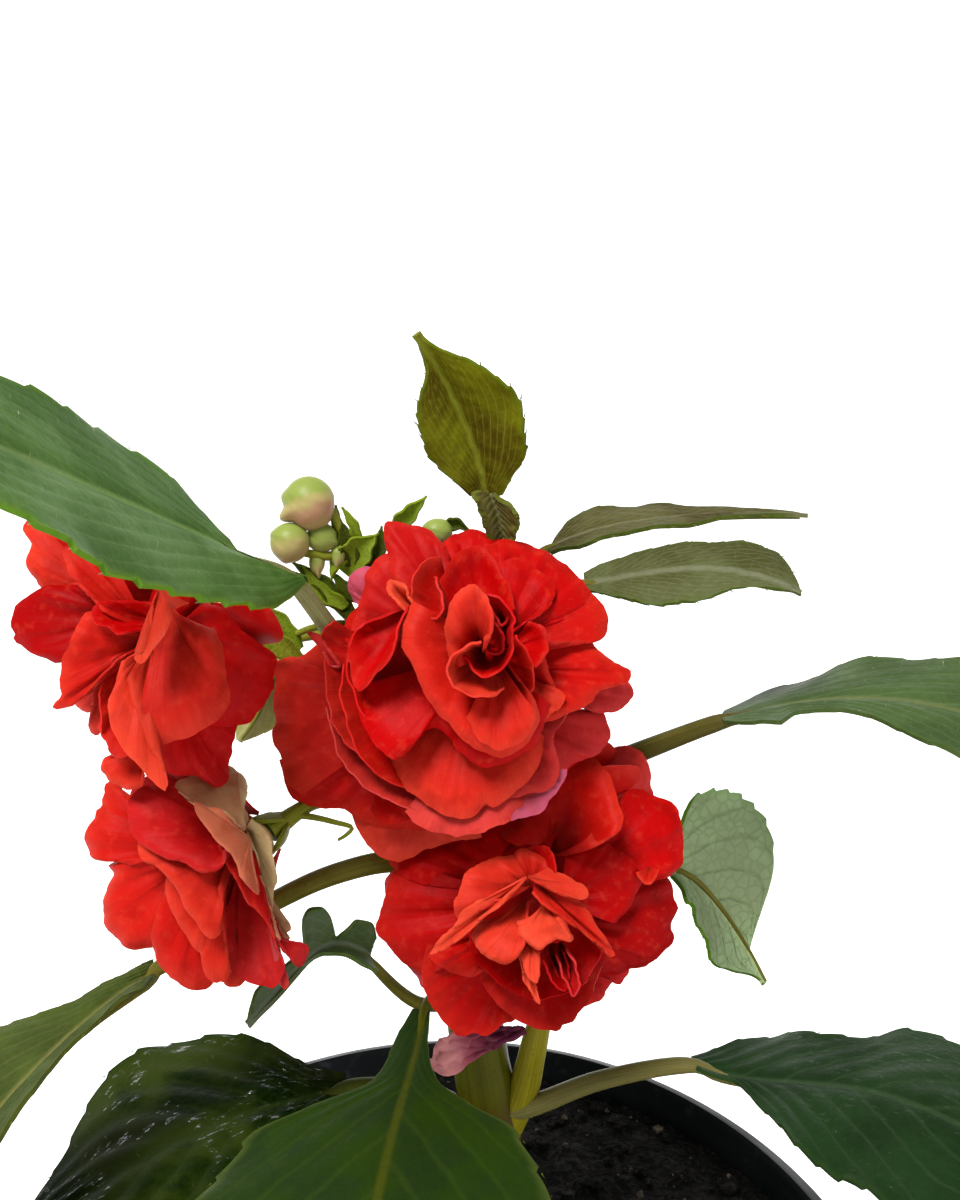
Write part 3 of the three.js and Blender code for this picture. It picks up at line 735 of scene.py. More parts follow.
@dataclass(frozen=True)
class PetalFinish:
    """Finish of one face of the petals, from their base to their lit lip.

    Marks on the mesh set each petal's colour. Above 0, the first carries a petal towards its lip
    colour, painted light on petals that face the lamp; below 0 it takes a petal back towards its
    base colour, painted shade on petals deep in the bloom; it also carries colour that differs from
    petal to petal at random. The marks age and pale carry a petal towards the violet of an old
    petal and towards the tan green of an outermost one.
    """

    name: str
    base: Colour
    middle: Colour
    lip: Colour
    faded: Colour
    pale: Colour = (0.42, 0.32, 0.15, 1.0)
    violet: Colour = (0.4, 0.09, 0.17, 1.0)
    glow: float = 0.012

    def make(self) -> bpy.types.Material:
        """Builds the material.

        Returns:
            The material.
        """
        paint = Shader(self.name)
        _, length, _ = paint.parts("UV")
        streaks, veins = paint.noise(1, 4, (30, 1.6, 1)), paint.noise(1, 2, (75, 1.2, 1))
        flecks, grain = paint.noise(900, 5), paint.noise(2600, 2)
        at = paint.plus(length, paint.times(paint.noise(150, 3), 0.24))
        colour = paint.mix(paint.span(at, 0.12, 0.62), self.base, self.middle)
        # painted light: the lip colour washed over the last stretch to the lip, and over whole petals whose
        # light mark is above 0
        lit = paint.plus(paint.span(at, 0.84, 1.2, (0.0, 0.2)), paint.mark("tone"))
        colour = paint.wash(colour, self.lip, lit, 0.0, 1.0)
        # painted shade: back towards the base colour on petals whose light mark is below 0, deep in the
        # bloom
        colour = paint.wash(colour, self.base, paint.mark("tone"), -1.0, 0.0, (0.9, 0.0))
        colour = paint.wash(colour, self.base, streaks, 0.45, 0.8, (0.0, 0.18))
        age = paint.times(paint.mark("age"), paint.span(at, 0.25, 1.1, (0.3, 1.2)))
        colour = paint.mix(paint.maths("MINIMUM", age, 1.0), colour, self.faded)
        colour = paint.wash(colour, self.violet, age, 0.6, 1.3, (0.0, 0.6))
        colour = paint.mix(paint.mark("pale"), colour, self.pale)
        colour = paint.wash(colour, self.lip, flecks, 0.52, 0.72, (0.0, 0.15))
        colour = paint.wash(colour, self.base, paint.noise(330, 4), 0.3, 0.52, (0.34, 0.0))
        colour = paint.wash(colour, self.base, veins, 0.5, 0.72, (0.0, 0.16))
        paint.set(Base_Color=colour, Roughness=0.5, Specular_IOR_Level=0.05)
        paint.set(Sheen_Weight=self.glow, Sheen_Roughness=0.4, Sheen_Tint=rgb(1, 0.35, 0.3))
        paint.set(Subsurface_Weight=0.15, Subsurface_Scale=0.0012, Subsurface_Radius=(1.0, 0.06, 0.04))
        paint.bump(grain, 0.05, 0.6)
        for pattern, depth in ((streaks, 0.08), (veins, 0.06), (flecks, 0.08)):
            paint.bump(pattern, depth, 0.5)
        return paint.material


@dataclass(frozen=True)
class StemFinish:
    """Finish of stems: green flesh, reddening towards a node, with fine dark specks."""

    name: str
    green: Colour
    shade: Colour
    red: Colour
    red_height: float = 0.0
    red_reach: float = 1.0

    def make(self) -> bpy.types.Material:
        """Builds the material.

        Returns:
            The material.
        """
        paint = Shader(self.name)
        clouds, ridges = paint.noise(260, 4), paint.noise(1, 3, (3, 40, 1))
        colour = paint.mix(paint.span(ridges, 0.35, 0.7), self.green, self.shade)
        colour = paint.wash(colour, self.shade, clouds, 0.5, 0.75, (0.0, 0.5))
        if self.red_height:
            height = paint.parts("Object")[2]
            off = paint.maths("ABSOLUTE", paint.maths("SUBTRACT", height, self.red_height * MM))
            off = paint.plus(off, paint.times(clouds, 3 * MM))
            colour = paint.wash(colour, self.red, off, 1.5 * MM, (1.5 + self.red_reach) * MM, (0.9, 0.0))
        colour = paint.wash(colour, self.red, paint.cells(900, "F1"), 0.1, 0.22, (0.5, 0.0))
        paint.set(Base_Color=colour, Roughness=0.4, Specular_IOR_Level=0.07)
        paint.set(Subsurface_Weight=0.1, Subsurface_Scale=0.002, Subsurface_Radius=(0.6, 1.0, 0.3))
        paint.bump(ridges, 0.2, 0.6)
        return paint.material


@dataclass(frozen=True)
class GroundFinish:
    """Rough, mottled finish for soil, grit and fibres."""

    name: str
    dark: Colour
    light: Colour
    grain: float = 900.0
    depth: float = 0.6

    roughness = (0.65, 0.85)

    def make(self) -> bpy.types.Material:
        """Builds the material.

        Returns:
            The material.
        """
        paint = Shader(self.name)
        coarse, fine = paint.noise(self.grain / 4, 5), paint.noise(self.grain, 6)
        colour = paint.mix(paint.span(fine, 0.42, 0.72), self.dark, self.light)
        paint.set(Base_Color=paint.wash(colour, self.dark, coarse, 0.4, 0.6, (0.0, 0.5)))
        paint.set(Roughness=paint.span(coarse, 0.3, 0.7, self.roughness), Specular_IOR_Level=0.12)
        paint.bump(fine, self.depth)
        paint.bump(coarse, 2 * self.depth)
        return paint.material


@dataclass(frozen=True)
class PlasticFinish:
    """Moulded black plastic with faint flow marks and dust."""

    name: str
    black: Colour
    dust: Colour

    roughness = (0.28, 0.48)

    def make(self) -> bpy.types.Material:
        """Builds the material.

        Returns:
            The material.
        """
        paint = Shader(self.name)
        paint.set(Base_Color=paint.wash(self.black, self.dust, paint.noise(420, 6), 0.55, 0.8, (0.0, 0.3)))
        paint.set(Roughness=paint.span(paint.noise(60, 5), 0.3, 0.7, self.roughness),
                  Specular_IOR_Level=0.09)
        paint.bump(paint.noise(2200, 2), 0.05, 0.5)
        return paint.material


@dataclass(frozen=True)
class BudFinish:
    """Waxy bud, green above and flushed with pink where its petals show."""

    name: str
    green: Colour
    cream: Colour
    pink: Colour

    def make(self) -> bpy.types.Material:
        """Builds the material.

        Returns:
            The material.
        """
        paint = Shader(self.name)
        streaks = paint.noise(900, 2)
        stray = paint.times(paint.maths("SUBTRACT", paint.noise(500, 3), 0.5), 0.3)
        at = paint.plus(paint.mark("ripe"), stray)
        colour = paint.mix(paint.span(at, 0.3, 0.5), self.green, self.cream)
        colour = paint.wash(colour, self.pink, at, 0.52, 0.75, (0.0, 0.9))
        colour = paint.wash(colour, self.cream, at, 0.84, 1.0, (0.0, 0.7))
        colour = paint.wash(colour, self.green, streaks, 0.45, 0.7, (0.0, 0.25))
        paint.set(Base_Color=colour, Roughness=0.42, Specular_IOR_Level=0.2)
        paint.set(Subsurface_Weight=0.25, Subsurface_Scale=0.002, Subsurface_Radius=(0.8, 1.0, 0.4))
        paint.bump(streaks, 0.12, 0.5)
        return paint.material


Finish = Union[LeafFinish, PetalFinish, StemFinish, GroundFinish, PlasticFinish, BudFinish]


class Finishes:
    """Makes each finish once, the first time that a piece asks for it."""

    def __init__(self) -> None:
        """Starts with none made."""
        self.made: dict[str, bpy.types.Material] = {}

    def __call__(self, finish: Finish) -> bpy.types.Material:
        """The material of a finish.

        Args:
            finish: The finish.

        Returns:
            Its material, made now or before.
        """
        if finish.name not in self.made:
            self.made[finish.name] = finish.make()
        return self.made[finish.name]


paints = Finishes()

GREEN = LeafFinish("leaf_green", rgb(0.056, 0.132, 0.0135), rgb(0.036, 0.092, 0.009),
                   rgb(0.13, 0.21, 0.05), rgb(0.085, 0.18, 0.006), 0.3, net=0.1, roughness=0.5,
                   gloss=0.08, scratch=0.8, veins=STEEP)
SIDE_GREEN = LeafFinish("leaf_side_green", rgb(0.045, 0.078, 0.02), rgb(0.03, 0.055, 0.012),
                        rgb(0.1, 0.15, 0.06), rgb(0.045, 0.075, 0.012), 0.3, net=0.1,
                        rib=rgb(0.1, 0.12, 0.04), roughness=0.5, gloss=0.14, scratch=0.6, veins=STEEP)
LOW_GREEN = LeafFinish("leaf_low_green", rgb(0.048, 0.072, 0.01), rgb(0.034, 0.05, 0.007),
                       rgb(0.1, 0.11, 0.035), rgb(0.065, 0.08, 0.012), 0.34, net=0.1,
                       rib=rgb(0.15, 0.145, 0.04), roughness=0.5, gloss=0.08, veins=STEEP)
FRONT = LeafFinish("leaf_front_green", rgb(0.013, 0.031, 0.0015), rgb(0.009, 0.023, 0.003),
                   rgb(0.025, 0.045, 0.004), rgb(0.05, 0.07, 0.012), 0.45,
                   rib=rgb(0.045, 0.052, 0.003), net=0.08, roughness=0.5, gloss=0.06)
OLIVE = LeafFinish("leaf_olive", rgb(0.105, 0.105, 0.0008), rgb(0.052, 0.036, 0.0008),
                   rgb(0.17, 0.18, 0.015), rgb(0.075, 0.11, 0.002), 0.55, net=0.14, roughness=0.6,
                   gloss=0.04, veins=ARCHED)
DUSK = LeafFinish("leaf_dusky", rgb(0.07, 0.067, 0.018), rgb(0.043, 0.037, 0.008),
                  rgb(0.14, 0.13, 0.07), rgb(0.055, 0.085, 0.008), 0.55, net=0.12, roughness=0.6,
                  gloss=0.04, veins=ARCHED)
DUSK_TIP = LeafFinish("leaf_tip_olive", rgb(0.12, 0.105, 0.025), rgb(0.075, 0.06, 0.012),
                      rgb(0.17, 0.165, 0.07), rgb(0.08, 0.1, 0.008), 0.6, net=0.12, roughness=0.6,
                      gloss=0.04, veins=ARCHED)
DUSK_GREEN = LeafFinish("leaf_dusky_green", rgb(0.072, 0.08, 0.026), rgb(0.046, 0.048, 0.012),
                        rgb(0.135, 0.14, 0.08), rgb(0.06, 0.1, 0.012), 0.55, net=0.12, roughness=0.6,
                        gloss=0.04, veins=ARCHED)
DARK = LeafFinish("leaf_dark", rgb(0.0105, 0.028, 0.0075), rgb(0.007, 0.019, 0.005),
                  rgb(0.024, 0.046, 0.017), rgb(0.016, 0.038, 0.008), 0.45,
                  net=0.08, roughness=0.42, gloss=0.04, wet=0.14)
WET = LeafFinish("leaf_dark_wet", rgb(0.002, 0.009, 0.0002), rgb(0.021, 0.032, 0.0025),
                 rgb(0.018, 0.032, 0.005), rgb(0.012, 0.024, 0.002), 0.4,
                 net=0.06, roughness=0.4, gloss=0.03, wet=1.0, scratch=0.2)
PALE = LeafFinish("leaf_underside", rgb(0.22, 0.3, 0.15), rgb(0.17, 0.21, 0.11),
                  rgb(0.12, 0.17, 0.065), rgb(0.16, 0.27, 0.09), 0.5,
                  rib=rgb(0.27, 0.33, 0.15), net=0.42, roughness=0.6, gloss=0.1, veins=FEW)
BEHIND = LeafFinish("leaf_pale_olive", rgb(0.3, 0.3, 0.1), rgb(0.22, 0.23, 0.06),
                    rgb(0.36, 0.35, 0.15), rgb(0.25, 0.28, 0.07), 0.45, net=0.3, roughness=0.6, gloss=0.1)
CURLED = LeafFinish("leaf_curled_grey", rgb(0.078, 0.11, 0.055), rgb(0.05, 0.08, 0.022),
                    rgb(0.14, 0.17, 0.11), rgb(0.06, 0.1, 0.014), 0.3, net=0.15, roughness=0.5, gloss=0.1)

PETAL_FRONT = PetalFinish("petal_face", rgb(0.17, 0.0001, 0.0003), rgb(0.37, 0.0003, 0.0006),
                          rgb(0.63, 0.062, 0.027), rgb(0.4, 0.036, 0.036))
PETAL_BACK = PetalFinish("petal_back", rgb(0.2, 0.002, 0.002), rgb(0.32, 0.004, 0.004),
                         rgb(0.56, 0.05, 0.02), rgb(0.4, 0.07, 0.08), glow=0.02)
# Paler reds on the cut edges of the petals: a painted highlight where the edges catch the light.
PETAL_EDGE_HIGHLIGHT = PetalFinish("petal_edge_highlight", rgb(0.26, 0.001, 0.002), rgb(0.42, 0.004, 0.005),
                         rgb(0.66, 0.06, 0.03), rgb(0.6, 0.1, 0.1), glow=0.02)
PETAL_FINISHES = (PETAL_FRONT, PETAL_BACK, PETAL_EDGE_HIGHLIGHT)
SPENT = PetalFinish("petal_spent", rgb(0.075, 0.01, 0.03), rgb(0.17, 0.022, 0.045),
                    rgb(0.5, 0.2, 0.2), rgb(0.5, 0.22, 0.21), violet=rgb(0.45, 0.2, 0.24))

STEM = StemFinish("stem_main", rgb(0.07, 0.071, 0.0006), rgb(0.046, 0.046, 0.0004),
                  rgb(0.045, 0.022, 0.0006), red_height=127, red_reach=9)
LIT_STEM = StemFinish("stem_lit", rgb(0.24, 0.205, 0.009), rgb(0.15, 0.128, 0.005), rgb(0.13, 0.08, 0.005))
PETIOLE = StemFinish("petiole_olive", rgb(0.13, 0.115, 0.016), rgb(0.08, 0.068, 0.008),
                     rgb(0.09, 0.05, 0.014))
GREYISH = StemFinish("petiole_greyish", rgb(0.24, 0.24, 0.1), rgb(0.15, 0.15, 0.05), rgb(0.12, 0.1, 0.04))
LIT_OLIVE = StemFinish("petiole_lit_olive", rgb(0.15, 0.13, 0.018), rgb(0.095, 0.08, 0.009),
                       rgb(0.09, 0.055, 0.01))
# A darker copy of the olive petiole colours, for the petiole of the right leaf.
DARKER_PETIOLE = StemFinish("petiole_darker", rgb(0.075, 0.064, 0.01), rgb(0.045, 0.036, 0.005),
                      rgb(0.06, 0.03, 0.01))
PINKISH = StemFinish("petiole_pinkish", rgb(0.17, 0.14, 0.042), rgb(0.1, 0.1, 0.028), rgb(0.15, 0.08, 0.03))
STALK = StemFinish("stalk_green", rgb(0.19, 0.2, 0.016), rgb(0.11, 0.125, 0.007), rgb(0.1, 0.08, 0.01))
BRACT = StemFinish("bract_green", rgb(0.16, 0.21, 0.012), rgb(0.1, 0.14, 0.006), rgb(0.08, 0.08, 0.01))
BRACT_DARK = StemFinish("bract_dark", rgb(0.05, 0.062, 0.005), rgb(0.03, 0.036, 0.002),
                        rgb(0.04, 0.025, 0.004))
BUD = BudFinish("bud_wax", rgb(0.21, 0.26, 0.05), rgb(0.36, 0.285, 0.11), rgb(0.37, 0.19, 0.11))
POT_PLASTIC = PlasticFinish("pot_black", rgb(0.0035, 0.0045, 0.005), rgb(0.035, 0.04, 0.045))
SOIL_FINISH = GroundFinish("soil_dark", rgb(0.0013, 0.0013, 0.0011), rgb(0.026, 0.022, 0.018), depth=0.9)
GRIT_FINISH = GroundFinish("grit_pale", rgb(0.045, 0.034, 0.024), rgb(0.3, 0.24, 0.17), 1500, 0.2)
FIBRE_FINISH = GroundFinish("fibre_brown", rgb(0.012, 0.009, 0.006), rgb(0.06, 0.045, 0.03), 1500, 0.1)


# ------------------------------------------------------------------ the view


@dataclass(frozen=True)
class Sight:
    """The one view that the blooms are arranged for, and places seen in it."""

    eye: Vec = (4.7, -140.2, 244.3)
    pitch: float = 15.3
    lens: float = 36.0
    sensor: float = 36.0
    frame: Pair = (960, 1200)

    @property
    def forward(self) -> Vector:
        """Direction that the view looks in."""
        pitch = math.radians(self.pitch)
        return Vector((0, math.cos(pitch), -math.sin(pitch)))

    def depth(self, place: Sequence[float]) -> float:
        """How far in front of the eye a place lies, in millimetres."""
        return (Vector(place) - Vector(self.eye)).dot(self.forward)

    def spot(self, across: float, down: float, depth: float) -> Vector:
        """Place that is seen at a spot of the frame.

        Args:
            across: Spot counted from the frame's left.
            down: Spot counted from the frame's top.
            depth: How far in front of the eye it lies, in millimetres.

        Returns:
            The place in millimetres.
        """
        focal = self.lens / self.sensor * max(self.frame)
        pitch = math.radians(self.pitch)
        upward = Vector((0, math.sin(pitch), math.cos(pitch)))
        ray = self.forward + Vector((1, 0, 0)) * (across - self.frame[0] / 2) / focal
        ray -= upward * (down - self.frame[1] / 2) / focal
        return Vector(self.eye) + ray * depth

    def line(self, spots: Sequence[Vec], count: int) -> list[Vector]:
        """Evenly spaced places on a smooth curve through spots of the frame."""
        return route([self.spot(*spot) for spot in spots], count)


SIGHT = Sight()


# ------------------------------------------------------------------ pot and soil


@dataclass
class Pot:
    """Round black nursery pot with a rolled rim and drain holes in its floor."""

    rim_radius: float = 65
    height: float = 100
    base_radius: float = 46
    wall: float = 1.8
    band_height: float = 15
    band_step: float = 3.6
    lip: float = 2.4
    roll: float = 1.5
    drain_holes: int = 6
    drain_radius: float = 4
    drain_circle: float = 34
    turns: int = 144

    def profile(self) -> list[Pair]:
        """Closed outline of the wall, from the floor's middle round the rim and back.

        Returns:
            Its points as radius and height, in millimetres.
        """
        top, rim, base, wall = self.height, self.rim_radius, self.base_radius, self.wall
        shoulder, band = top - self.band_height, rim - self.lip
        neck = band - self.band_step
        outside = [(0, 0), (base - 1, 0), (base - 0.2, 0.3), (base, 1), (neck - 0.2, shoulder - 2),
                   (neck + 0.2, shoulder - 0.8), (neck + 1.6, shoulder - 0.1), (neck + 2, shoulder + 0.4),
                   (band, top - 4.6), (band + 0.5, top - 4.3)]
        roll = [(rim - self.roll + self.roll * math.cos(a), top - 2.6 + self.roll * math.sin(a))
                for a in map(math.radians, range(-80, 91, 20))]
        crown = [(rim - 2.4, top - 0.35), (rim - 3.2, top - 0.1), (rim - 3.9, top - 0.9)]
        inside = [(neck + 0.5, shoulder + 1), (neck - wall, shoulder - 1.5), (base - wall, wall + 1),
                  (base - wall - 1, wall), (0, wall)]
        return [*outside, *roll, *crown, *inside]

    def build(self) -> Piece:
        """Spins the wall, opens the drain holes and dresses the pot.

        Returns:
            The pot.
        """
        points = self.profile()
        mesh = bpy.data.meshes.new("pot_wall")
        mesh.from_pydata([(r * MM, 0, z * MM) for r, z in points],
                         [(i, i + 1) for i in range(len(points) - 1)], [])
        pot = only(placed("pot_wall", mesh))
        bpy.ops.object.mode_set(mode="EDIT")
        bpy.ops.mesh.select_all(action="SELECT")
        bpy.ops.mesh.spin(steps=self.turns, angle=math.tau, center=(0, 0, 0), axis=(0, 0, 1))
        bpy.ops.mesh.select_all(action="SELECT")
        bpy.ops.mesh.remove_doubles(threshold=0.01 * MM)
        bpy.ops.mesh.normals_make_consistent(inside=False)
        bpy.ops.object.mode_set(mode="OBJECT")
        self.drill(pot)
        return settle(coat(pot, paints(POT_PLASTIC)), "pot_shell", Slot.POT, "pot", angle=38)

    def drill(self, pot: Piece) -> None:
        """Cuts the drain holes out of the floor.

        Args:
            pot: The pot without holes.
        """
        drills = []
        for i in range(self.drain_holes):
            fresh()
            bpy.ops.mesh.primitive_cylinder_add(
                vertices=32, radius=self.drain_radius * MM, depth=4 * self.wall * MM,
                location=polar(math.tau * (i + 0.5) / self.drain_holes) * self.drain_circle * MM)
            drills.append(bpy.context.object)
        cutter = joined("drills", drills)
        cut = pot.modifiers.new("drain", "BOOLEAN")
        cut.operation, cut.object, cut.solver = "DIFFERENCE", cutter, "EXACT"
        apply_modifiers(pot)
        bpy.data.objects.remove(cutter)


@dataclass
class Soil:
    """Damp crumbly potting soil with pale grit and fibres."""

    level: float = 96
    edge_radius: float = 60.0
    skirt: tuple[Pair, ...] = ((57.0, 84), (43.7, 2.4))
    stem: Pair = (6, 6)
    stem_clear: float = 6
    rings: int = 84
    spokes: int = 210
    crumbs: int = 520
    grit: int = 300
    fibres: int = 90
    seed: int = 11

    def height(self, x: float, y: float) -> float:
        """Height of the surface at a place.

        Args:
            x: The place to the right of the pot's middle, in millimetres.
            y: The place behind it.

        Returns:
            The height in millimetres.
        """
        spot = Vector((x, y, 0))
        rolling = noise.noise(spot * 0.06) * 1.1
        lumps = noise.fractal(spot * 0.22, 0.8, 2.2, 4) * 0.75
        crumbs = noise.fractal(spot * 0.9, 0.7, 2.1, 3) * 0.3
        edge = math.hypot(x, y) / self.edge_radius
        return self.level - 0.6 + rolling + lumps + crumbs - 1.2 * ease((edge - 0.9) / 0.1)

    def circle(self, radius: float, level: float | None = None) -> list[Vec]:
        """A ring of points round the pot's middle.

        Args:
            radius: Its radius in millimetres.
            level: Its height, or nothing where it lies on the surface.

        Returns:
            The points.
        """
        points = []
        for j in range(self.spokes):
            angle = math.tau * j / self.spokes
            x, y = radius * math.cos(angle), radius * math.sin(angle)
            points.append((x, y, self.height(x, y) if level is None else level))
        return points

    def surface(self) -> Piece:
        """The body of soil, its top relief in the mesh and its sides down to the floor.

        Returns:
            The body.
        """
        verts, count = [(0, 0, self.height(0, 0))], self.spokes
        for i in range(1, self.rings + 1):
            verts += self.circle(self.edge_radius * i / self.rings)
        for radius, level in self.skirt:
            verts += self.circle(radius, level)
        faces = [(0, 1 + j, 1 + (j + 1) % count) for j in range(count)]
        last = 1 + (self.rings + len(self.skirt) - 1) * count
        for start in range(1, last, count):
            for j in range(count):
                a, b = start + j, start + (j + 1) % count
                faces.append((a, a + count, b + count, b))
        faces.append(tuple(last + j for j in reversed(range(count))))
        mesh = bpy.data.meshes.new("soil_body")
        mesh.from_pydata([Vector(v) * MM for v in verts], [], faces)
        return coat(placed("soil_body", mesh), paints(SOIL_FINISH))

    def scatter(self, rng: random.Random, count: int, size: Pair, flat: float) -> list[Matrix]:
        """Random places on the surface for small loose bits.

        Args:
            rng: The source of the draws.
            count: How many places are wanted.
            size: The smallest and the largest bit, in millimetres.
            flat: Height of a bit as a share of its width.

        Returns:
            The turn, the shape and the place of each bit, in metres.
        """
        places = []
        while len(places) < count:
            radius = (self.edge_radius - 2.5) * rng.random() ** 0.5
            angle = rng.random() * 2 * math.pi
            x, y = radius * math.cos(angle), radius * math.sin(angle)
            bulk = lerp(*size, rng.random() ** 2)
            turn = Matrix.Rotation(rng.random() * TURN, 4, Vector([rng.random() - 0.5 for _ in range(3)]))
            shape = Matrix.Diagonal((bulk * (0.7 + 0.6 * rng.random()), bulk, bulk * flat, 1))
            if math.hypot(x - self.stem[0], y - self.stem[1]) < self.stem_clear:
                continue
            at = Matrix.Translation((x, y, self.height(x, y) + 0.2 * bulk))
            places.append(Matrix.Scale(MM, 4) @ at @ shape @ turn)
        return places

    def bits(self, name: str, finish: GroundFinish, places: list[Matrix]) -> None:
        """Small rough lumps on the soil.

        Args:
            name: Name of their piece.
            finish: Their finish.
            places: Where each lump goes.
        """
        fresh()
        bpy.ops.mesh.primitive_ico_sphere_add(subdivisions=1, radius=1)
        lump = coat(bpy.context.object, paints(finish))
        for vertex in lump.data.vertices:
            vertex.co *= 0.8 + 0.35 * draw(vertex.index, 4)
        settle(copies(name, lump, places), name, Slot.SOIL, angle=30)

    def straws(self, rng: random.Random) -> None:
        """Short bent fibres lying on the soil.

        Args:
            rng: The source of the draws.
        """
        pieces = []
        for _ in range(self.fibres):
            radius, angle = (self.edge_radius - 6) * rng.random() ** 0.5, rng.random() * TURN
            heading, length = rng.random() * TURN, lerp(2, 7, rng.random())
            points = []
            for k in range(5):
                x = radius * math.cos(angle) + (k / 4 - 0.5) * length * math.cos(heading + 0.25 * k)
                y = radius * math.sin(angle) + (k / 4 - 0.5) * length * math.sin(heading + 0.25 * k)
                points.append(Vector((x, y, self.height(x, y) + 0.25)))
            pieces.append(tube(points, (0.12, 0.16, 0.08), 4))
        settle(coat(joined("soil_fibres", pieces), paints(FIBRE_FINISH)), "soil_fibres", Slot.SOIL)

    def build(self) -> None:
        """Builds the soil, its crumbs, its grit and its fibres."""
        rng = random.Random(self.seed)
        settle(self.surface(), "soil_bed", Slot.SOIL, "soil", angle=80)
        self.bits("soil_crumbs", SOIL_FINISH, self.scatter(rng, self.crumbs, (0.5, 2.0), 0.7))
        self.bits("soil_grit", GRIT_FINISH, self.scatter(rng, self.grit, (0.25, 1.15), 0.8))
        self.straws(rng)


# ------------------------------------------------------------------ stems


@dataclass
class Shoot:
    """Fleshy main shoot and the side branch that carries the right leaf."""

    main: tuple[Vec, ...] = (
        (6, 6, 67), (6, 6, 96), (6.5, 5.5, 122), (4.5, 6, 139.5), (2, 8, 155),
        (2.5, 8.5, 172), (3, 9, 190), (6, 9, 204), (6.5, 8, 211),
    )
    main_radii: tuple[float, ...] = (4.6, 4.6, 4.6, 4.4, 4.1, 3.4, 2.8, 2.2, 1.5)
    branch: tuple[Vec, ...] = (
        (8, 5.5, 126), (10.5, 5, 132), (12.7, 4, 143.5), (16, 5, 158), (20, 7, 174), (19.5, 6, 182),
    )
    branch_radii: tuple[float, ...] = (2.6, 2.1, 1.5, 1.7, 1.7, 1.4)
    nodes: tuple[float, ...] = (127, 149, 164, 189, 204)
    node_reach: float = 2.2

    def swollen(self, points: list[Vector], radii: Sequence[float]) -> list[float]:
        """Radii that swell a little at each leaf node and ripple slightly between.

        Args:
            points: The stem's path.
            radii: Its radii, spread evenly from start to end.

        Returns:
            The radius at each point.
        """
        result = []
        for i, point in enumerate(points):
            swell = sum(bell(point.z - node, self.node_reach) for node in self.nodes)
            ripple = 0.97 + 0.05 * swell + 0.015 * math.sin(0.9 * point.z)
            result.append(along(radii, i / (len(points) - 1)) * ripple)
        return result

    def build(self) -> Piece:
        """Sweeps both stems and dresses them.

        Returns:
            The shoot.
        """
        trunk, fork = route(self.main, 110), route(self.branch, 50)
        pieces = [coat(tube(trunk, self.swollen(trunk, self.main_radii), 24), paints(STEM)),
                  coat(tube(fork, self.swollen(fork, self.branch_radii), 16), paints(LIT_STEM))]
        return settle(joined("shoot", pieces), "main_shoot", Slot.STEM, "main_stem")


# ------------------------------------------------------------------ leaves


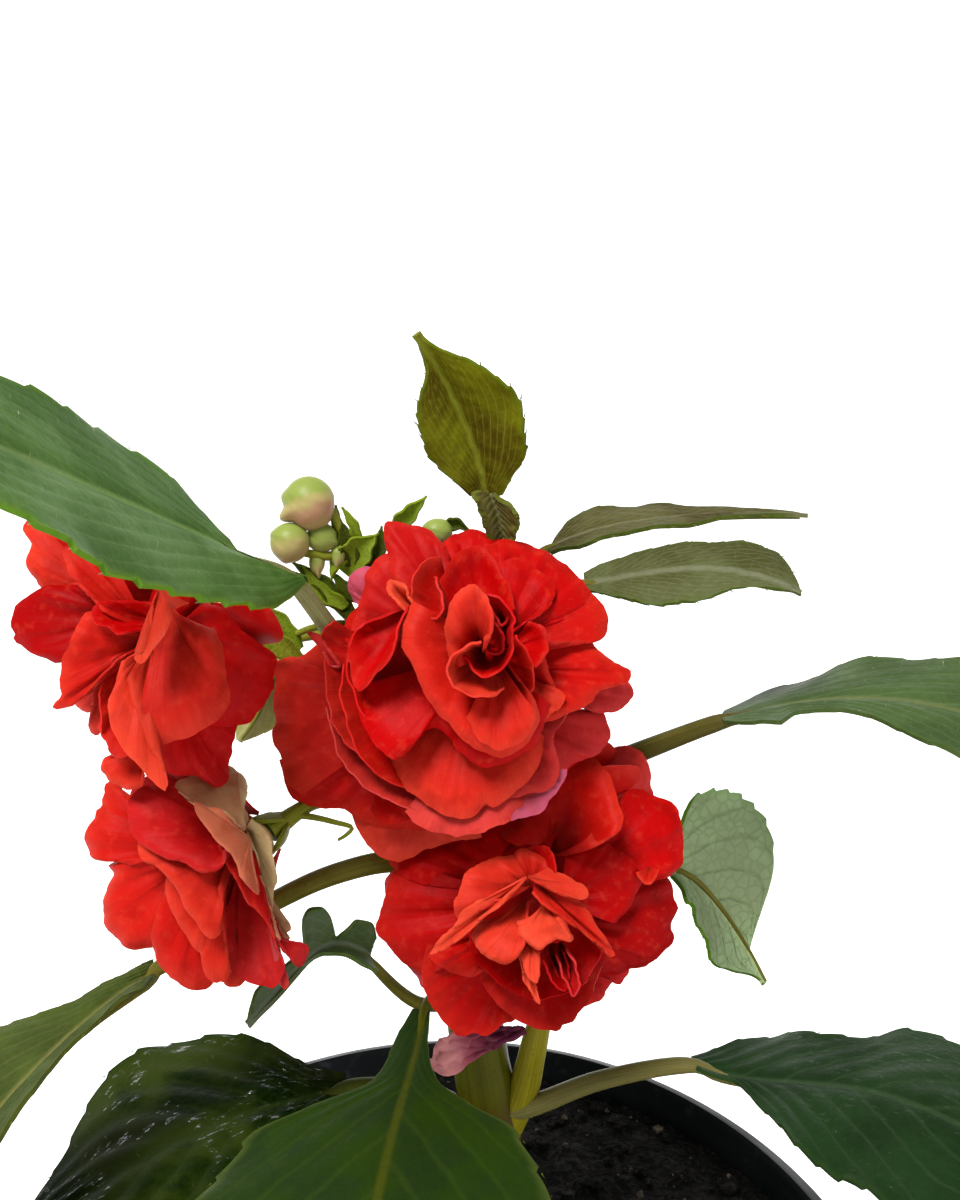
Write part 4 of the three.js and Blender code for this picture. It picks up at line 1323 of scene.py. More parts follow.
@dataclass
class Leaf:
    """One leaf: a blade hung on its midrib, its petiole and the bristles of its teeth.

    The reach of each half's edge from the midrib is given at the base and at the tip, and the
    shape, where there is one, as shares of that reach at even steps along the left and right half.
    """

    node: str
    rib: Rib
    left: Half
    right: Half
    petiole: tuple[Vec, ...]
    widest: float
    fullness: float
    wave: float
    shape: tuple[tuple[float, ...], tuple[float, ...]] | None = None
    slot: Slot = Slot.LEAF
    face: LeafFinish = GREEN
    back: LeafFinish = PALE
    upward: Vec = (0, 0, 1)
    small: bool = False
    tooth: float = 0.048
    bristles: bool = True
    stem: StemFinish = PETIOLE
    girth: float = 1.3
    cup: float = 0.0
    quilt: float = 1.0
    series: int = 0

    teeth = 13
    cells_per_tooth = 6
    thickness = 0.55
    tip_half_width = 0.35
    quilt_depth = 0.38
    groove_depth = 0.45
    groove_width = 1.1
    bristle_length = 1.2

    def __post_init__(self) -> None:
        """Finds the midrib's curve and which way the leaf faces."""
        self.curve = RibCurve(self.rib)
        lift = self.curve.tangent(0.5).cross(between(self.right, 0.5)).normalized()
        self.raised = -1 if lift.dot(Vector(self.upward)) < 0 else 1
        self.facing = lift * self.raised

    def share(self, s: float, t: float) -> float:
        """Half width of the blade as a share of its reach.

        Args:
            s: How far along the midrib.
            t: Less than 0 on the left half, more on the right.

        Returns:
            The share.
        """
        if self.shape:
            return smooth(self.shape[0 if t < 0 else 1], s)
        power = math.log(0.5) / math.log(self.widest)
        return max(math.sin(math.pi * clamp01(s) ** power), 0.0) ** self.fullness

    def outline(self, s: float, t: float) -> float:
        """Half width of the blade, teeth included.

        Args:
            s: How far along the midrib.
            t: How far across, from -1 to 1.

        Returns:
            The half width in millimetres.
        """
        full = between(self.left if t < 0 else self.right, s).length
        saw = (s * self.teeth) % 1
        cut = self.tooth * (1 - saw) ** 0.7 if 0.04 < s < 0.97 else 0
        return max(self.share(s, t) * full * (1 - cut * abs(t) ** 6), self.tip_half_width)

    def point(self, s: float, t: float) -> Vector:
        """Place on the blade's middle surface.

        Args:
            s: How far along the midrib.
            t: How far across, from -1 to 1.

        Returns:
            The place in millimetres.
        """
        out = between(self.left if t < 0 else self.right, s)
        lift = self.curve.tangent(s).cross(out).normalized() * (-1 if t < 0 else 1)
        share = min(self.share(s, t), 1.0)
        reach = max(Vector(self.left[0]).length, Vector(self.right[1]).length)
        ripple = math.sin(math.tau * 3 * s + TURN * draw(self.series, 1) + (0 if t < 0 else 1.9))
        height = self.wave * reach * abs(t) ** 2.5 * ripple * min(1, 1.5 * share)
        height += self.raised * self.relief(s, t, share)
        height += self.raised * self.cup * self.outline(s, t) * t * t
        return self.curve.point(s) + out.normalized() * abs(t) * self.outline(s, t) + lift * height

    def relief(self, s: float, t: float, share: float) -> float:
        """Quilting between the veins, the groove of the midrib and the frill of the margin.

        Args:
            s: How far along the midrib.
            t: How far across, from -1 to 1.
            share: Half width of the blade there, as a share of its reach.

        Returns:
            How far the surface stands up, in millimetres.
        """
        size = 0.6 if self.small else 1.0
        quilt = 0.5 - 0.5 * math.cos(math.tau * self.face.veins.order(s, t))
        fade = math.sin(math.pi * min(abs(t), 1) ** 0.8) * min(1, 2 * share)
        groove = self.groove_depth * bell(abs(t) * self.outline(s, t), self.groove_width)
        wave = math.sin(math.tau * self.teeth / 3 * s + 3 * t + self.series)
        frill = 0.3 * size * abs(t) ** 5 * wave
        return size * (self.quilt_depth * self.quilt * quilt * fade - groove) + frill * share

    def blade(self) -> Piece:
        """The blade, its upper face outwards and its two finishes on its faces.

        Returns:
            The blade.
        """
        sheet = spread(22 if self.small else 32, self.teeth * self.cells_per_tooth, self.point,
                       rib=lambda s, t: abs(t) * self.outline(s, t))
        if self.raised > 0:
            turn_over(sheet)
        coat(sheet, paints(self.face), paints(self.back))
        thicken(sheet, self.thickness)
        return sheet

    def stalk(self) -> Piece:
        """The petiole, which runs on below the midrib and thins out along it.

        Returns:
            The petiole.
        """
        thick = min(self.girth, 0.8) if self.small else self.girth
        groove = 0.37 if self.small else 0.55
        under = []
        for s in (0.06, 0.2, 0.4, 0.6, 0.8, 0.97):
            sunk = lerp(thick * 0.62, 0.2, s**0.5) + (0.1 if s < 0.1 else groove)
            under.append(self.curve.point(s) - self.facing * sunk)
        path = route([*self.petiole, *under], 64)
        bare = sum((Vector(b) - Vector(a)).length for a, b in zip(self.petiole, self.petiole[1:]))
        bare /= sum((b - a).length for a, b in zip(path, path[1:]))
        radii = []
        for share in (i / 31 for i in range(32)):
            if share < bare:
                radii.append(lerp(thick + 0.25, thick * 0.85, share / bare))
            else:
                radii.append(lerp(thick * 0.8, 0.2, ((share - bare) / (1 - bare)) ** 0.4))
        return coat(tube(path, radii, 12), paints(self.stem))

    def hairs(self) -> Piece:
        """A short bristle at the point of each tooth.

        Returns:
            The bristles.
        """
        places = []
        size = 0.62 if self.small else 0.55
        for i in range(1, self.teeth - 1):
            for t in (-1, 1):
                s = (i + 0.97) / self.teeth
                if self.share(s, t) < 0.2 or draw(i * t, self.series + 5) < 0.3:
                    continue
                at, inner = self.point(s, t), self.point(s, t * 0.8)
                aim = (at - inner).normalized() * 0.6 + self.curve.tangent(s) * 0.8
                turn = aim.to_track_quat("Z", "Y").to_matrix().to_4x4()
                grow = size * (0.7 + 0.6 * draw(i, self.series + t))
                places.append(Matrix.Translation(at * MM) @ turn @ Matrix.Scale(grow * MM, 4))
        fresh()
        bpy.ops.mesh.primitive_cone_add(vertices=5, radius1=0.14, radius2=0.02, depth=self.bristle_length,
                                        location=(0, 0, 0.5))
        bristle = coat(bpy.context.object, paints(self.stem))
        bpy.ops.object.transform_apply(location=True)
        return copies("bristles", bristle, places)

    def build(self) -> Piece:
        """Builds the whole leaf in place of its CAD node.

        Returns:
            The leaf.
        """
        pieces = [self.blade(), self.stalk()]
        if self.bristles:
            pieces.append(self.hairs())
        return settle(joined(self.node, pieces), f"{self.node}_blade", self.slot, self.node, angle=70)


LEAVES = (
    Leaf("leaf_upper_left", ((-15.9, -3.4, 210), (-25, -20, 219), (-33, -38, 228.5), (-38.5, -54, 235.5)),
         ((0, 6, -3), (-7, 16, 12)), ((0.5, -11.5, -4.5), (6.5, -14.5, -4.5)),
         ((3, 9, 186.3), (-3.5, 5.5, 189.8), (-12, -0.5, 200.5), (-16.5, -4.6, 208.8)), 0.4, 0.8, 0.012,
         ((0.15, 0.12, 0.02, 0.02, 0.03, 0.4, 0.75, 0.9, 1, 1.02, 1.03, 0.95, 0.84, 0.79, 0.73, 0.64, 0.53,
           0.38, 0.22, 0.09, 0),
          (0.16, 0.5, 0.7, 0.78, 0.84, 0.9, 0.93, 0.97, 1.02, 1.03, 1.02, 1, 0.95, 0.87, 0.76, 0.66,
           0.53, 0.38, 0.22, 0.09, 0)), quilt=0.5, tooth=0.09, stem=GREYISH),
    Leaf("leaf_right", ((34.9, 0.6, 190.5), (49, -5, 195.3), (64, -12, 194.5), (80, -20, 184)),
         ((3, 9.5, -2.5), (6, 16, 7.5)), ((-0.5, -8, 1.5), (-8.5, -14, -7)),
         ((19.5, 6, 181), (27, 3.5, 185.5), (34.9, 0.6, 190)), 0.45, 0.95, 0.015,
         ((0.7, 0.92, 0.82, 0.91, 0.88, 0.84, 0.82, 0.72, 0.45, 0.18, 0),
          (0.3, 0.5, 0.62, 0.8, 0.44, 0.38, 0.36, 0.4, 0.47, 0.56, 0.64, 0.68, 0.7, 0.7, 0.66,
           0.57, 0.44, 0.32, 0.2, 0.08, 0)),
         face=SIDE_GREEN, quilt=0.5, stem=DARKER_PETIOLE),
    Leaf("leaf_top", ((5.4, 5.2, 217.3), (4, 4.5, 223.7), (1, 2.9, 231), (-2.5, 0, 237.3)),
         ((-10, -3, 3.5), (-4.5, -4.5, -2.5)), ((5, -3, 2), (6.5, -4.5, 4.5)),
         ((6.5, 8, 211), (6.5, 7, 214.5), (5.8, 5.3, 218)), 0.42, 0.8, 0.03,
         ((0.2, 0.46, 0.66, 0.76, 0.78, 0.75, 0.63, 0.44, 0.2, 0.1, 0),
          (0.4, 0.66, 1.02, 1.11, 1.13, 1.07, 0.9, 0.64, 0.34, 0.11, 0)),
         slot=Slot.YOUNG, face=OLIVE, back=DUSK, upward=(0, -1, 0.2), small=True),
    Leaf("leaf_tip", ((7.4, 4.2, 211.4), (7.3, 3.9, 213.8), (6.8, 3.6, 216.1), (6, 3.6, 218.3)),
         ((-2.3, -0.9, 1.4), (-3.1, -1.8, 0.9)), ((1.9, -1.1, 1), (2.8, -2.1, 0)),
         ((6.5, 8.5, 206.5), (7.3, 5, 208.5), (7.4, 4.2, 211.4)), 0.45, 0.9, 0.05,
         ((0.5, 0.75, 0.9, 1, 1, 1, 1, 1.05, 1.1, 1, 0.5),
          (0.7, 0.85, 0.95, 1.05, 1.15, 1.2, 1.25, 1.3, 1.15, 0.8, 0.2)), cup=0.35,
         slot=Slot.YOUNG, face=DUSK_TIP, back=DUSK_TIP, upward=(0, -1, 0.2), small=True, bristles=False),
    Leaf("leaf_right_high", ((14, 14.8, 209), (23, 14.8, 212.2), (34.7, 13.7, 213.8), (47.3, 13.1, 214)),
         ((1, 5.8, 2.1), (1.6, 9, -1.6)), ((0, -4.8, -0.5), (-2.1, -8, 0.5)),
         ((6.5, 9, 204), (10, 12, 206.5), (14, 14.8, 209)), 0.42, 1, 0.01,
         ((0.05, 0.95, 1.18, 1.13, 1, 0.97, 0.87, 0.68, 0.52, 0.3, 0),
          (0.5, 0.8, 1, 1, 0.95, 1, 0.92, 0.67, 0.37, 0.12, 0)),
         slot=Slot.YOUNG, face=DUSK, back=DUSK, small=True),
    Leaf("leaf_right_middle",
         ((17.7, 4, 206.9), (25.7, 1, 209.2), (33.5, -2.5, 210.4), (41.9, -5.9, 208.5)),
         ((0, 4.5, 3), (5, 7.5, 1.5)), ((-0.5, -4.5, -2.5), (0, -3, -4)),
         ((5.5, 9, 200), (12, 6.5, 204.5), (17.7, 4, 206.9)), 0.5, 0.8, 0.01,
         ((0.3, 0.56, 0.64, 0.79, 0.86, 0.89, 0.89, 0.94, 0.88, 0.48, 0),
          (0.2, 0.47, 0.76, 0.99, 1.06, 1.02, 0.83, 0.54, 0.34, 0.21, 0)),
         slot=Slot.YOUNG, face=DUSK_GREEN, back=DUSK, small=True),
    Leaf("leaf_pale", ((30, 6, 166.5), (35.5, 8, 162), (41, 9, 154), (44, 6, 149)),
         ((2.5, 7, 14.5), (8, 2, 10)), ((1, -4, -0.5), (-9.5, -7.5, 1.5)),
         ((20, 7, 172), (25, 6.5, 169.5), (30, 6, 166.5)), 0.4, 0.8, 0.012,
         ((0.02, 0.35, 0.62, 0.73, 0.81, 0.9, 0.97, 1.03, 1.07, 1.1, 1.11, 1.08, 1.01, 0.85, 0.42, 0.05,
           0.01, 0.01, 0.01, 0.01, 0),
          (0.3, 0.95, 1.25, 1, 0.95, 0.95, 0.9, 0.83, 0.49, 0.11, 0)),
         slot=Slot.PALE, face=GREEN, back=PALE, upward=(0, 1, 0), small=True, bristles=False),
    Leaf("leaf_lower_right", ((34, 0, 140.5), (46.5, -6, 142.5), (58, -14, 145.5), (76, -25, 139)),
         ((-1.5, 11, -1.5), (14, 18, -1)), ((-1, -7, 3), (-12, -19, -7)),
         ((7, 5, 129.5), (11, 4, 130.7), (21.5, 3, 136), (34, 0, 140.5)), 0.45, 0.95, 0.02,
         ((0.2, 0.55, 0.88, 0.99, 0.8, 0.82, 1.03, 0.95, 0.7, 0.28, 0),
          (0.3, 0.18, 0.6, 0.85, 1, 0.99, 0.94, 0.9, 0.64, 0.24, 0)),
         slot=Slot.DARK, face=DARK, stem=PINKISH, quilt=0.8),
    Leaf("leaf_front", ((-2.5, -3, 151.5), (-4.5, -21, 151), (-6.5, -39, 148.5), (-6, -61, 141)),
         ((-16, 0, -3), (-24, -1, -5)), ((15, 1, -3.5), (21, 0, -5)),
         ((2.5, 7.5, 147.5), (0, 3, 150.5), (-2.5, -3, 151.5)), 0.42, 0.8, 0.015,
         ((0.1, 0.14, 0.18, 0.19, 0.2, 0.255, 0.62, 0.935, 0.98, 1.02, 1.05, 1.06, 1.05, 1, 0.95, 0.86,
           0.75, 0.62, 0.45, 0.25, 0),
          (0.05, 0.06, 0.07, 0.1, 0.14, 0.225, 0.47, 0.78, 0.87, 0.95, 1.01, 1.02, 1, 0.96, 0.9, 0.82,
           0.7, 0.57, 0.42, 0.23, 0)),
         face=FRONT, quilt=0.5, stem=STEM, girth=0.85),
    Leaf("leaf_lower_left", ((-14, 2, 135.5), (-25.5, -4, 136.5), (-37, -13, 137), (-50, -26, 134.5)),
         ((0, 14, 5), (-21, 17, -6)), ((2, -7, -5), (12, -22, 0)),
         ((6, 5, 127), (-3, 4.5, 133), (-14, 2, 135.5)), 0.45, 0.9, 0.02,
         ((0.14, 0.29, 0.57, 0.91, 1.12, 1.14, 1.02, 0.74, 0.41, 0.2, 0),
          (0.1, 0.45, 0.73, 0.9, 0.99, 0.99, 0.91, 0.76, 0.56, 0.31, 0)),
         slot=Slot.DARK, face=WET, stem=BRACT_DARK),
    Leaf("leaf_left", ((-37, -5, 158), (-41, -13, 158.5), (-47, -23.5, 156), (-52.5, -36, 151)),
         ((-1.5, 4.2, 0.8), (-13, 15, 0)), ((1.5, -4, 1), (9, -11, 6)),
         ((2.5, 7.5, 164), (-6, 2, 170), (-14, -0.5, 169.5), (-22, -2.5, 166.5), (-37, -5, 158)),
         0.45, 0.95, 0.01,
         ((0.5, 0.4, 0.36, 0.4, 0.39, 0.52, 0.72, 0.82, 0.75, 0.45, 0),
          (0.6, 0.6, 0.46, 0.45, 0.42, 0.4, 0.42, 0.52, 0.53, 0.4, 0)),
         face=LOW_GREEN, quilt=0.5, stem=LIT_OLIVE),
    Leaf("leaf_curled", ((-9.5, -2, 158.5), (-14, -4, 161.5), (-18, -7, 160), (-23.5, -13, 156)),
         ((1, 1, 5.5), (-3.5, 1, 4)), ((0.5, -3, -1.5), (1, -3, -2)),
         ((2.5, 8, 145), (-3.7, 2.6, 148.5), (-9.5, -2, 157.6)), 0.38, 0.8, 0.0,
         ((0.45, 0.75, 0.72, 0.68, 0.45, 0.27, 0.14, 0.75, 1.02, 1.12, 1.17, 1, 0.1, 0.2, 0.3,
           0.33, 0.38, 0.42, 0.42, 0.25, 0),
          (0.8, 0.79, 0.78, 0.7, 0.65, 0.58, 0.52, 0.45, 0.37, 0.25, 0.17, 0.12, 0.1, 0.12, 0.16,
           0.18, 0.2, 0.18, 0.14, 0.07, 0)),
         face=CURLED, back=CURLED, small=True, bristles=False, tooth=0.0, cup=0.25, quilt=0.3),
    Leaf("leaf_behind_left", ((-20.5, 14, 196.5), (-23, 15, 192), (-25.5, 16, 186.5), (-29, 17, 181)),
         ((-4, 2, 0.5), (-5, 2.5, -1)), ((4, 1, -4.5), (3.5, 1.5, -3)),
         ((3.5, 9, 193), (-8, 13, 197.5), (-20.5, 14, 196.5)), 0.42, 0.8, 0.02,
         slot=Slot.PALE, face=BEHIND, back=BEHIND, upward=(0, 1, 0), small=True, bristles=False,
         stem=STALK, quilt=0.4),
    Leaf("leaf_back_high", ((-3, 22, 183), (-9, 33, 186), (-14, 44, 184), (-17, 54, 178)),
         ((-8, -4, 1), (-12, -5, -1)), ((10, 4, -1), (11, 5, -3)),
         ((3, 9, 182), (0, 14, 183), (-3, 22, 183)), 0.42, 0.9, 0.03),
    Leaf("leaf_back_middle", ((2, 20, 168), (1, 34, 170), (-1, 48, 167), (-4, 61, 158)),
         ((-12, 0, -1), (-15, 0, -4)), ((12, 0, -2), (15, 0, -4)),
         ((2.5, 8, 163), (2, 13, 166), (2, 20, 168)), 0.42, 0.9, 0.03, face=SIDE_GREEN),
    Leaf("leaf_back_low", ((17, 16, 158), (22, 30, 157), (24, 44, 152), (22, 58, 143)),
         ((-11, 3, 1), (-12, 0, -2)), ((10, -3, -2), (12, -2, -4)),
         ((18, 6, 160), (18, 11, 159), (17, 16, 158)), 0.42, 0.9, 0.03,
         slot=Slot.DARK, face=DARK),
)


# ------------------------------------------------------------------ blooms


@dataclass
class Ring:
    """Petals that share a shape: where they point round the axis and how they open."""

    root: Pair
    angles: tuple[float, ...]
    length: float
    width: float
    open: Pair
    cup: float = 0.12
    # How far its petals are washed with the lip colour: painted light where they face the lamp.
    tone: float = 0.0

    ruffle = 0.2
    curl = 25.0
    curl_from = 0.7

    def lean(self, share: float) -> float:
        """Angle to the axis, in radians, at a share of the way to the lip."""
        curled = self.curl * clamp01((share - self.curl_from) / (1 - self.curl_from)) ** 1.4
        return math.radians(lerp(*self.open, share**1.3) + curled)


@dataclass
class Petal:
    """A petal laid out from given spots: from its root, its sheet fans out to the line of its rim.

    Each spot gives where it shows in the frame and how far it stands out before the bloom's
    heart, in millimetres. A positive bow swells the sheet towards the viewer.
    """

    root: Vec
    rim: tuple[Vec, ...]
    bow: float = -1.0
    # above 0 washes the petal with its lip colour, painted light; below 0 takes it back to its base colour,
    # painted shade
    tone: float = 0.0
    age: float = 0.0
    pale: float = 0.0
    fold: float = 0.25
    curl: float = 0.6

    columns = 40
    rows = 18
    root_share = 0.05
    curl_from = 0.84

    def build(self, depth: float, number: int, series: int) -> Piece:
        """The petal's sheet, its face to the viewer.

        Args:
            depth: How far in front of the eye the bloom's heart lies.
            number: Its own number in the bloom, for its small differences.
            series: The bloom's number on the plant.

        Returns:
            The sheet, in place.
        """
        root = SIGHT.spot(self.root[0], self.root[1], depth - self.root[2])
        rim = SIGHT.line([(x, y, depth - out) for x, y, out in self.rim], self.columns + 1)
        phase = TURN * draw(number, series + 10)
        count = 2 + round(2 * draw(number, series + 15))
        towards = SIGHT.forward * -1

        def spot(share: float, side: float) -> Vector:
            """Place on the fan.

            Args:
                share: How far out from the root, from 0 to 1.
                side: How far across, from -1 to 1.

            Returns:
                The place in millimetres.
            """
            s = lerp(self.root_share, 1, share)
            end = rim[min(int((side + 1) / 2 * self.columns + 0.5), self.columns)]
            jag = noise.noise_vector(end * 0.55) * 0.35 + noise.noise_vector(end * 1.7) * 0.12
            point = root.lerp(end + jag, s)
            out = self.bow * 4 * s * (1 - s)
            out += self.fold * s * (1.15 - s) * 2 * math.sin(count * math.pi * side + phase)
            out += 0.28 * self.fold * s**3 * math.sin(3.1 * count * side + 2 * phase)
            out -= self.curl * clamp01((s - self.curl_from) / (1 - self.curl_from)) ** 2
            out += 0.16 * noise.noise(point * 0.45) * s
            return point + towards * out

        sheet = spread(self.columns, self.rows, spot, tone=self.tone, age=self.age, pale=self.pale)
        if sum((face.normal.dot(towards) * face.area for face in sheet.data.polygons), 0.0) < 0:
            turn_over(sheet)
        return sheet


@dataclass
class Bloom:
    """A double bloom: petals laid out one by one before rings of ruffled back petals."""

    name: str
    heart: Vec
    axis: Vec
    rings: tuple[Ring, ...]
    petals: tuple[Petal, ...]
    stalk: tuple[Vec, ...]
    spur: tuple[Vec, ...] = ()
    sepals: float = 1.0

    thickness = 0.26
    core_radius = 3.8
    core_back = -1.6
    overlap = 0.22
    steps = 24
    stalk_start = 4.1
    stalk_radii = (1.1, 0.9, 0.85, 0.8, 0.9, 1.4)
    spur_radii = (1.5, 0.75, 0.5, 0.42, 0.36, 0.3, 0.2)
    sepal_turns = (90, 210, 330)

    @property
    def place(self) -> Matrix:
        """Turn and shift that carries the bloom's own frame to its place on the plant.

        Returns:
            The turn and shift, in millimetres.
        """
        forward = Vector(self.axis).normalized()
        across = Vector((0, 0, 1)).cross(forward).normalized()
        turned = Matrix((across, forward.cross(across), forward)).transposed().to_4x4()
        turned.translation = Vector(self.heart)
        return turned

    def ring_petal(self, ring: Ring, degrees: float, number: int, series: int) -> Piece:
        """One petal of a ring, from its root in the heart to its frilled lip.

        Args:
            ring: The shape it shares with its ring.
            degrees: Where it points round the axis.
            number: Its own number in the bloom, for its small differences.
            series: The bloom's number on the plant.

        Returns:
            The petal's sheet, in its place.
        """
        length = ring.length * (0.94 + 0.12 * draw(number, series))
        phase = TURN * draw(number, series + 10)
        place, angle = self.place, math.radians(degrees)
        outward, sideways = polar(angle), polar(angle + math.pi / 2)
        spine = [Vector(ring.root)]
        for k in range(self.steps):
            middle = (ring.lean(k / self.steps) + ring.lean((k + 1) / self.steps)) / 2
            spine.append(spine[-1] + Vector((math.sin(middle), math.cos(middle))) * length / self.steps)

        def spot(share: float, side: float) -> Vector:
            """Place on the petal.

            Args:
                share: How far along it, from 0 to 1.
                side: How far across, from -1 to 1.

            Returns:
                The place in millimetres.
            """
            v = -side
            lip = 1 - 0.42 * abs(v) ** 2.6 - 0.08 * bell(v, 0.22)
            lip += 0.014 * math.sin(15 * v + 2 * phase) * (1 - v * v)
            s = share * lip
            k = min(int(s * self.steps), self.steps - 1)
            r, h = spine[k].lerp(spine[k + 1], s * self.steps - k)
            tilt = ring.lean(s)
            half = ring.width * (0.07 + 0.93 * math.sin(math.pi / 2 * min(1, s / 0.82)) ** 1.55)
            rise = ring.cup * half * v * v + self.overlap * half * v
            rise += 0.5 * ring.ruffle * ring.width * s**1.8 * math.sin(4.2 * v + phase)
            rise += 0.12 * ring.ruffle * ring.width * s**4 * math.sin(9.5 * v + 1.7 * phase)
            rise -= 0.05 * half * abs(v) ** 5
            point = outward * (r - rise * math.cos(tilt)) + sideways * (v * half)
            point.z = h + rise * math.sin(tilt)
            return place @ point

        # the ring's painted light, spread a little at random from petal to petal
        tone = clamp01(ring.tone + 0.3 * (draw(number, series + 20) - 0.5))
        return spread(20, 16, spot, tone=tone, age=0.0, pale=0.0)

    def core(self) -> Piece:
        """The small solid heart behind the petals' roots.

        Returns:
            The heart.
        """
        fresh()
        bpy.ops.mesh.primitive_ico_sphere_add(subdivisions=3, radius=self.core_radius * 0.8 * MM)
        core, place = bpy.context.object, self.place
        behind = [1.0 if vertex.co.z < self.core_back * MM else 0.0 for vertex in core.data.vertices]
        for vertex in core.data.vertices:
            vertex.co = (place @ (vertex.co / MM)) * MM
        for name in ("tone", "age"):
            add_mark(core, name, [0.0] * len(behind))
        add_mark(core, "pale", behind)
        return coat(core, *map(paints, PETAL_FINISHES))

    def build(self, series: int) -> None:
        """Builds the bloom and the stalk behind it.

        Args:
            series: The bloom's number on the plant.
        """
        depth = SIGHT.depth(self.heart)
        sheets = [petal.build(depth, i, series) for i, petal in enumerate(self.petals)]
        for r, ring in enumerate(self.rings):
            for i, degrees in enumerate(ring.angles):
                sheets.append(self.ring_petal(ring, degrees, 20 * r + i, series))
        petals = coat(joined("petals", sheets), *map(paints, PETAL_FINISHES))
        # the edges take the third finish, a painted highlight along them
        thicken(petals, self.thickness, rim=2)
        whole = joined("bloom", [petals, self.core()])
        settle(whole, f"bloom_{self.name}_petals", Slot.PETAL, f"bloom_{self.name}", angle=75)
        self.build_stalk()

    def build_stalk(self) -> None:
        """The pedicel, its sepals and its spur."""
        ends = [self.place @ Vector((0, 0, back - self.stalk_start)) for back in (-5, 1)]
        path = route([*map(Vector, self.stalk), *ends], 60)
        pieces = [tube(path, self.stalk_radii, 12)]
        pieces += [self.sepal(math.radians(turn)) for turn in self.sepal_turns]
        if self.spur:
            pieces.append(tube(SIGHT.line(self.spur, 48), self.spur_radii, 12))
        settle(coat(joined("stalk", pieces), paints(STALK)), f"stalk_{self.name}_green", Slot.STEM,
               f"stalk_{self.name}")

    def sepal(self, angle: float) -> Piece:
        """One pointed sepal, pressed against the back of the petals.

        Args:
            angle: Where it points round the axis, in radians.

        Returns:
            The sepal's mesh.
        """
        place, size = self.place, self.sepals
        out, side = polar(angle), polar(angle + math.pi / 2)

        def spot(share: float, across: float) -> Vector:
            """Place on the sepal.

            Args:
                share: How far along it, from 0 to 1.
                across: How far across, from -1 to 1.

            Returns:
                The place in millimetres.
            """
            half = 1.9 * size * math.sin(math.pi * min(share + 0.12, 1) ** 0.8) ** 0.7 + 0.08
            back = -self.stalk_start - 1.2 + 3.6 * share**1.5 + 0.25 * across * across
            away = 0.6 + 3.1 * size * share**0.8
            return place @ (out * away + side * half * across + Vector((0, 0, back)))

        leaflet = spread(8, 12, spot)
        thicken(leaflet, 0.5)
        return leaflet
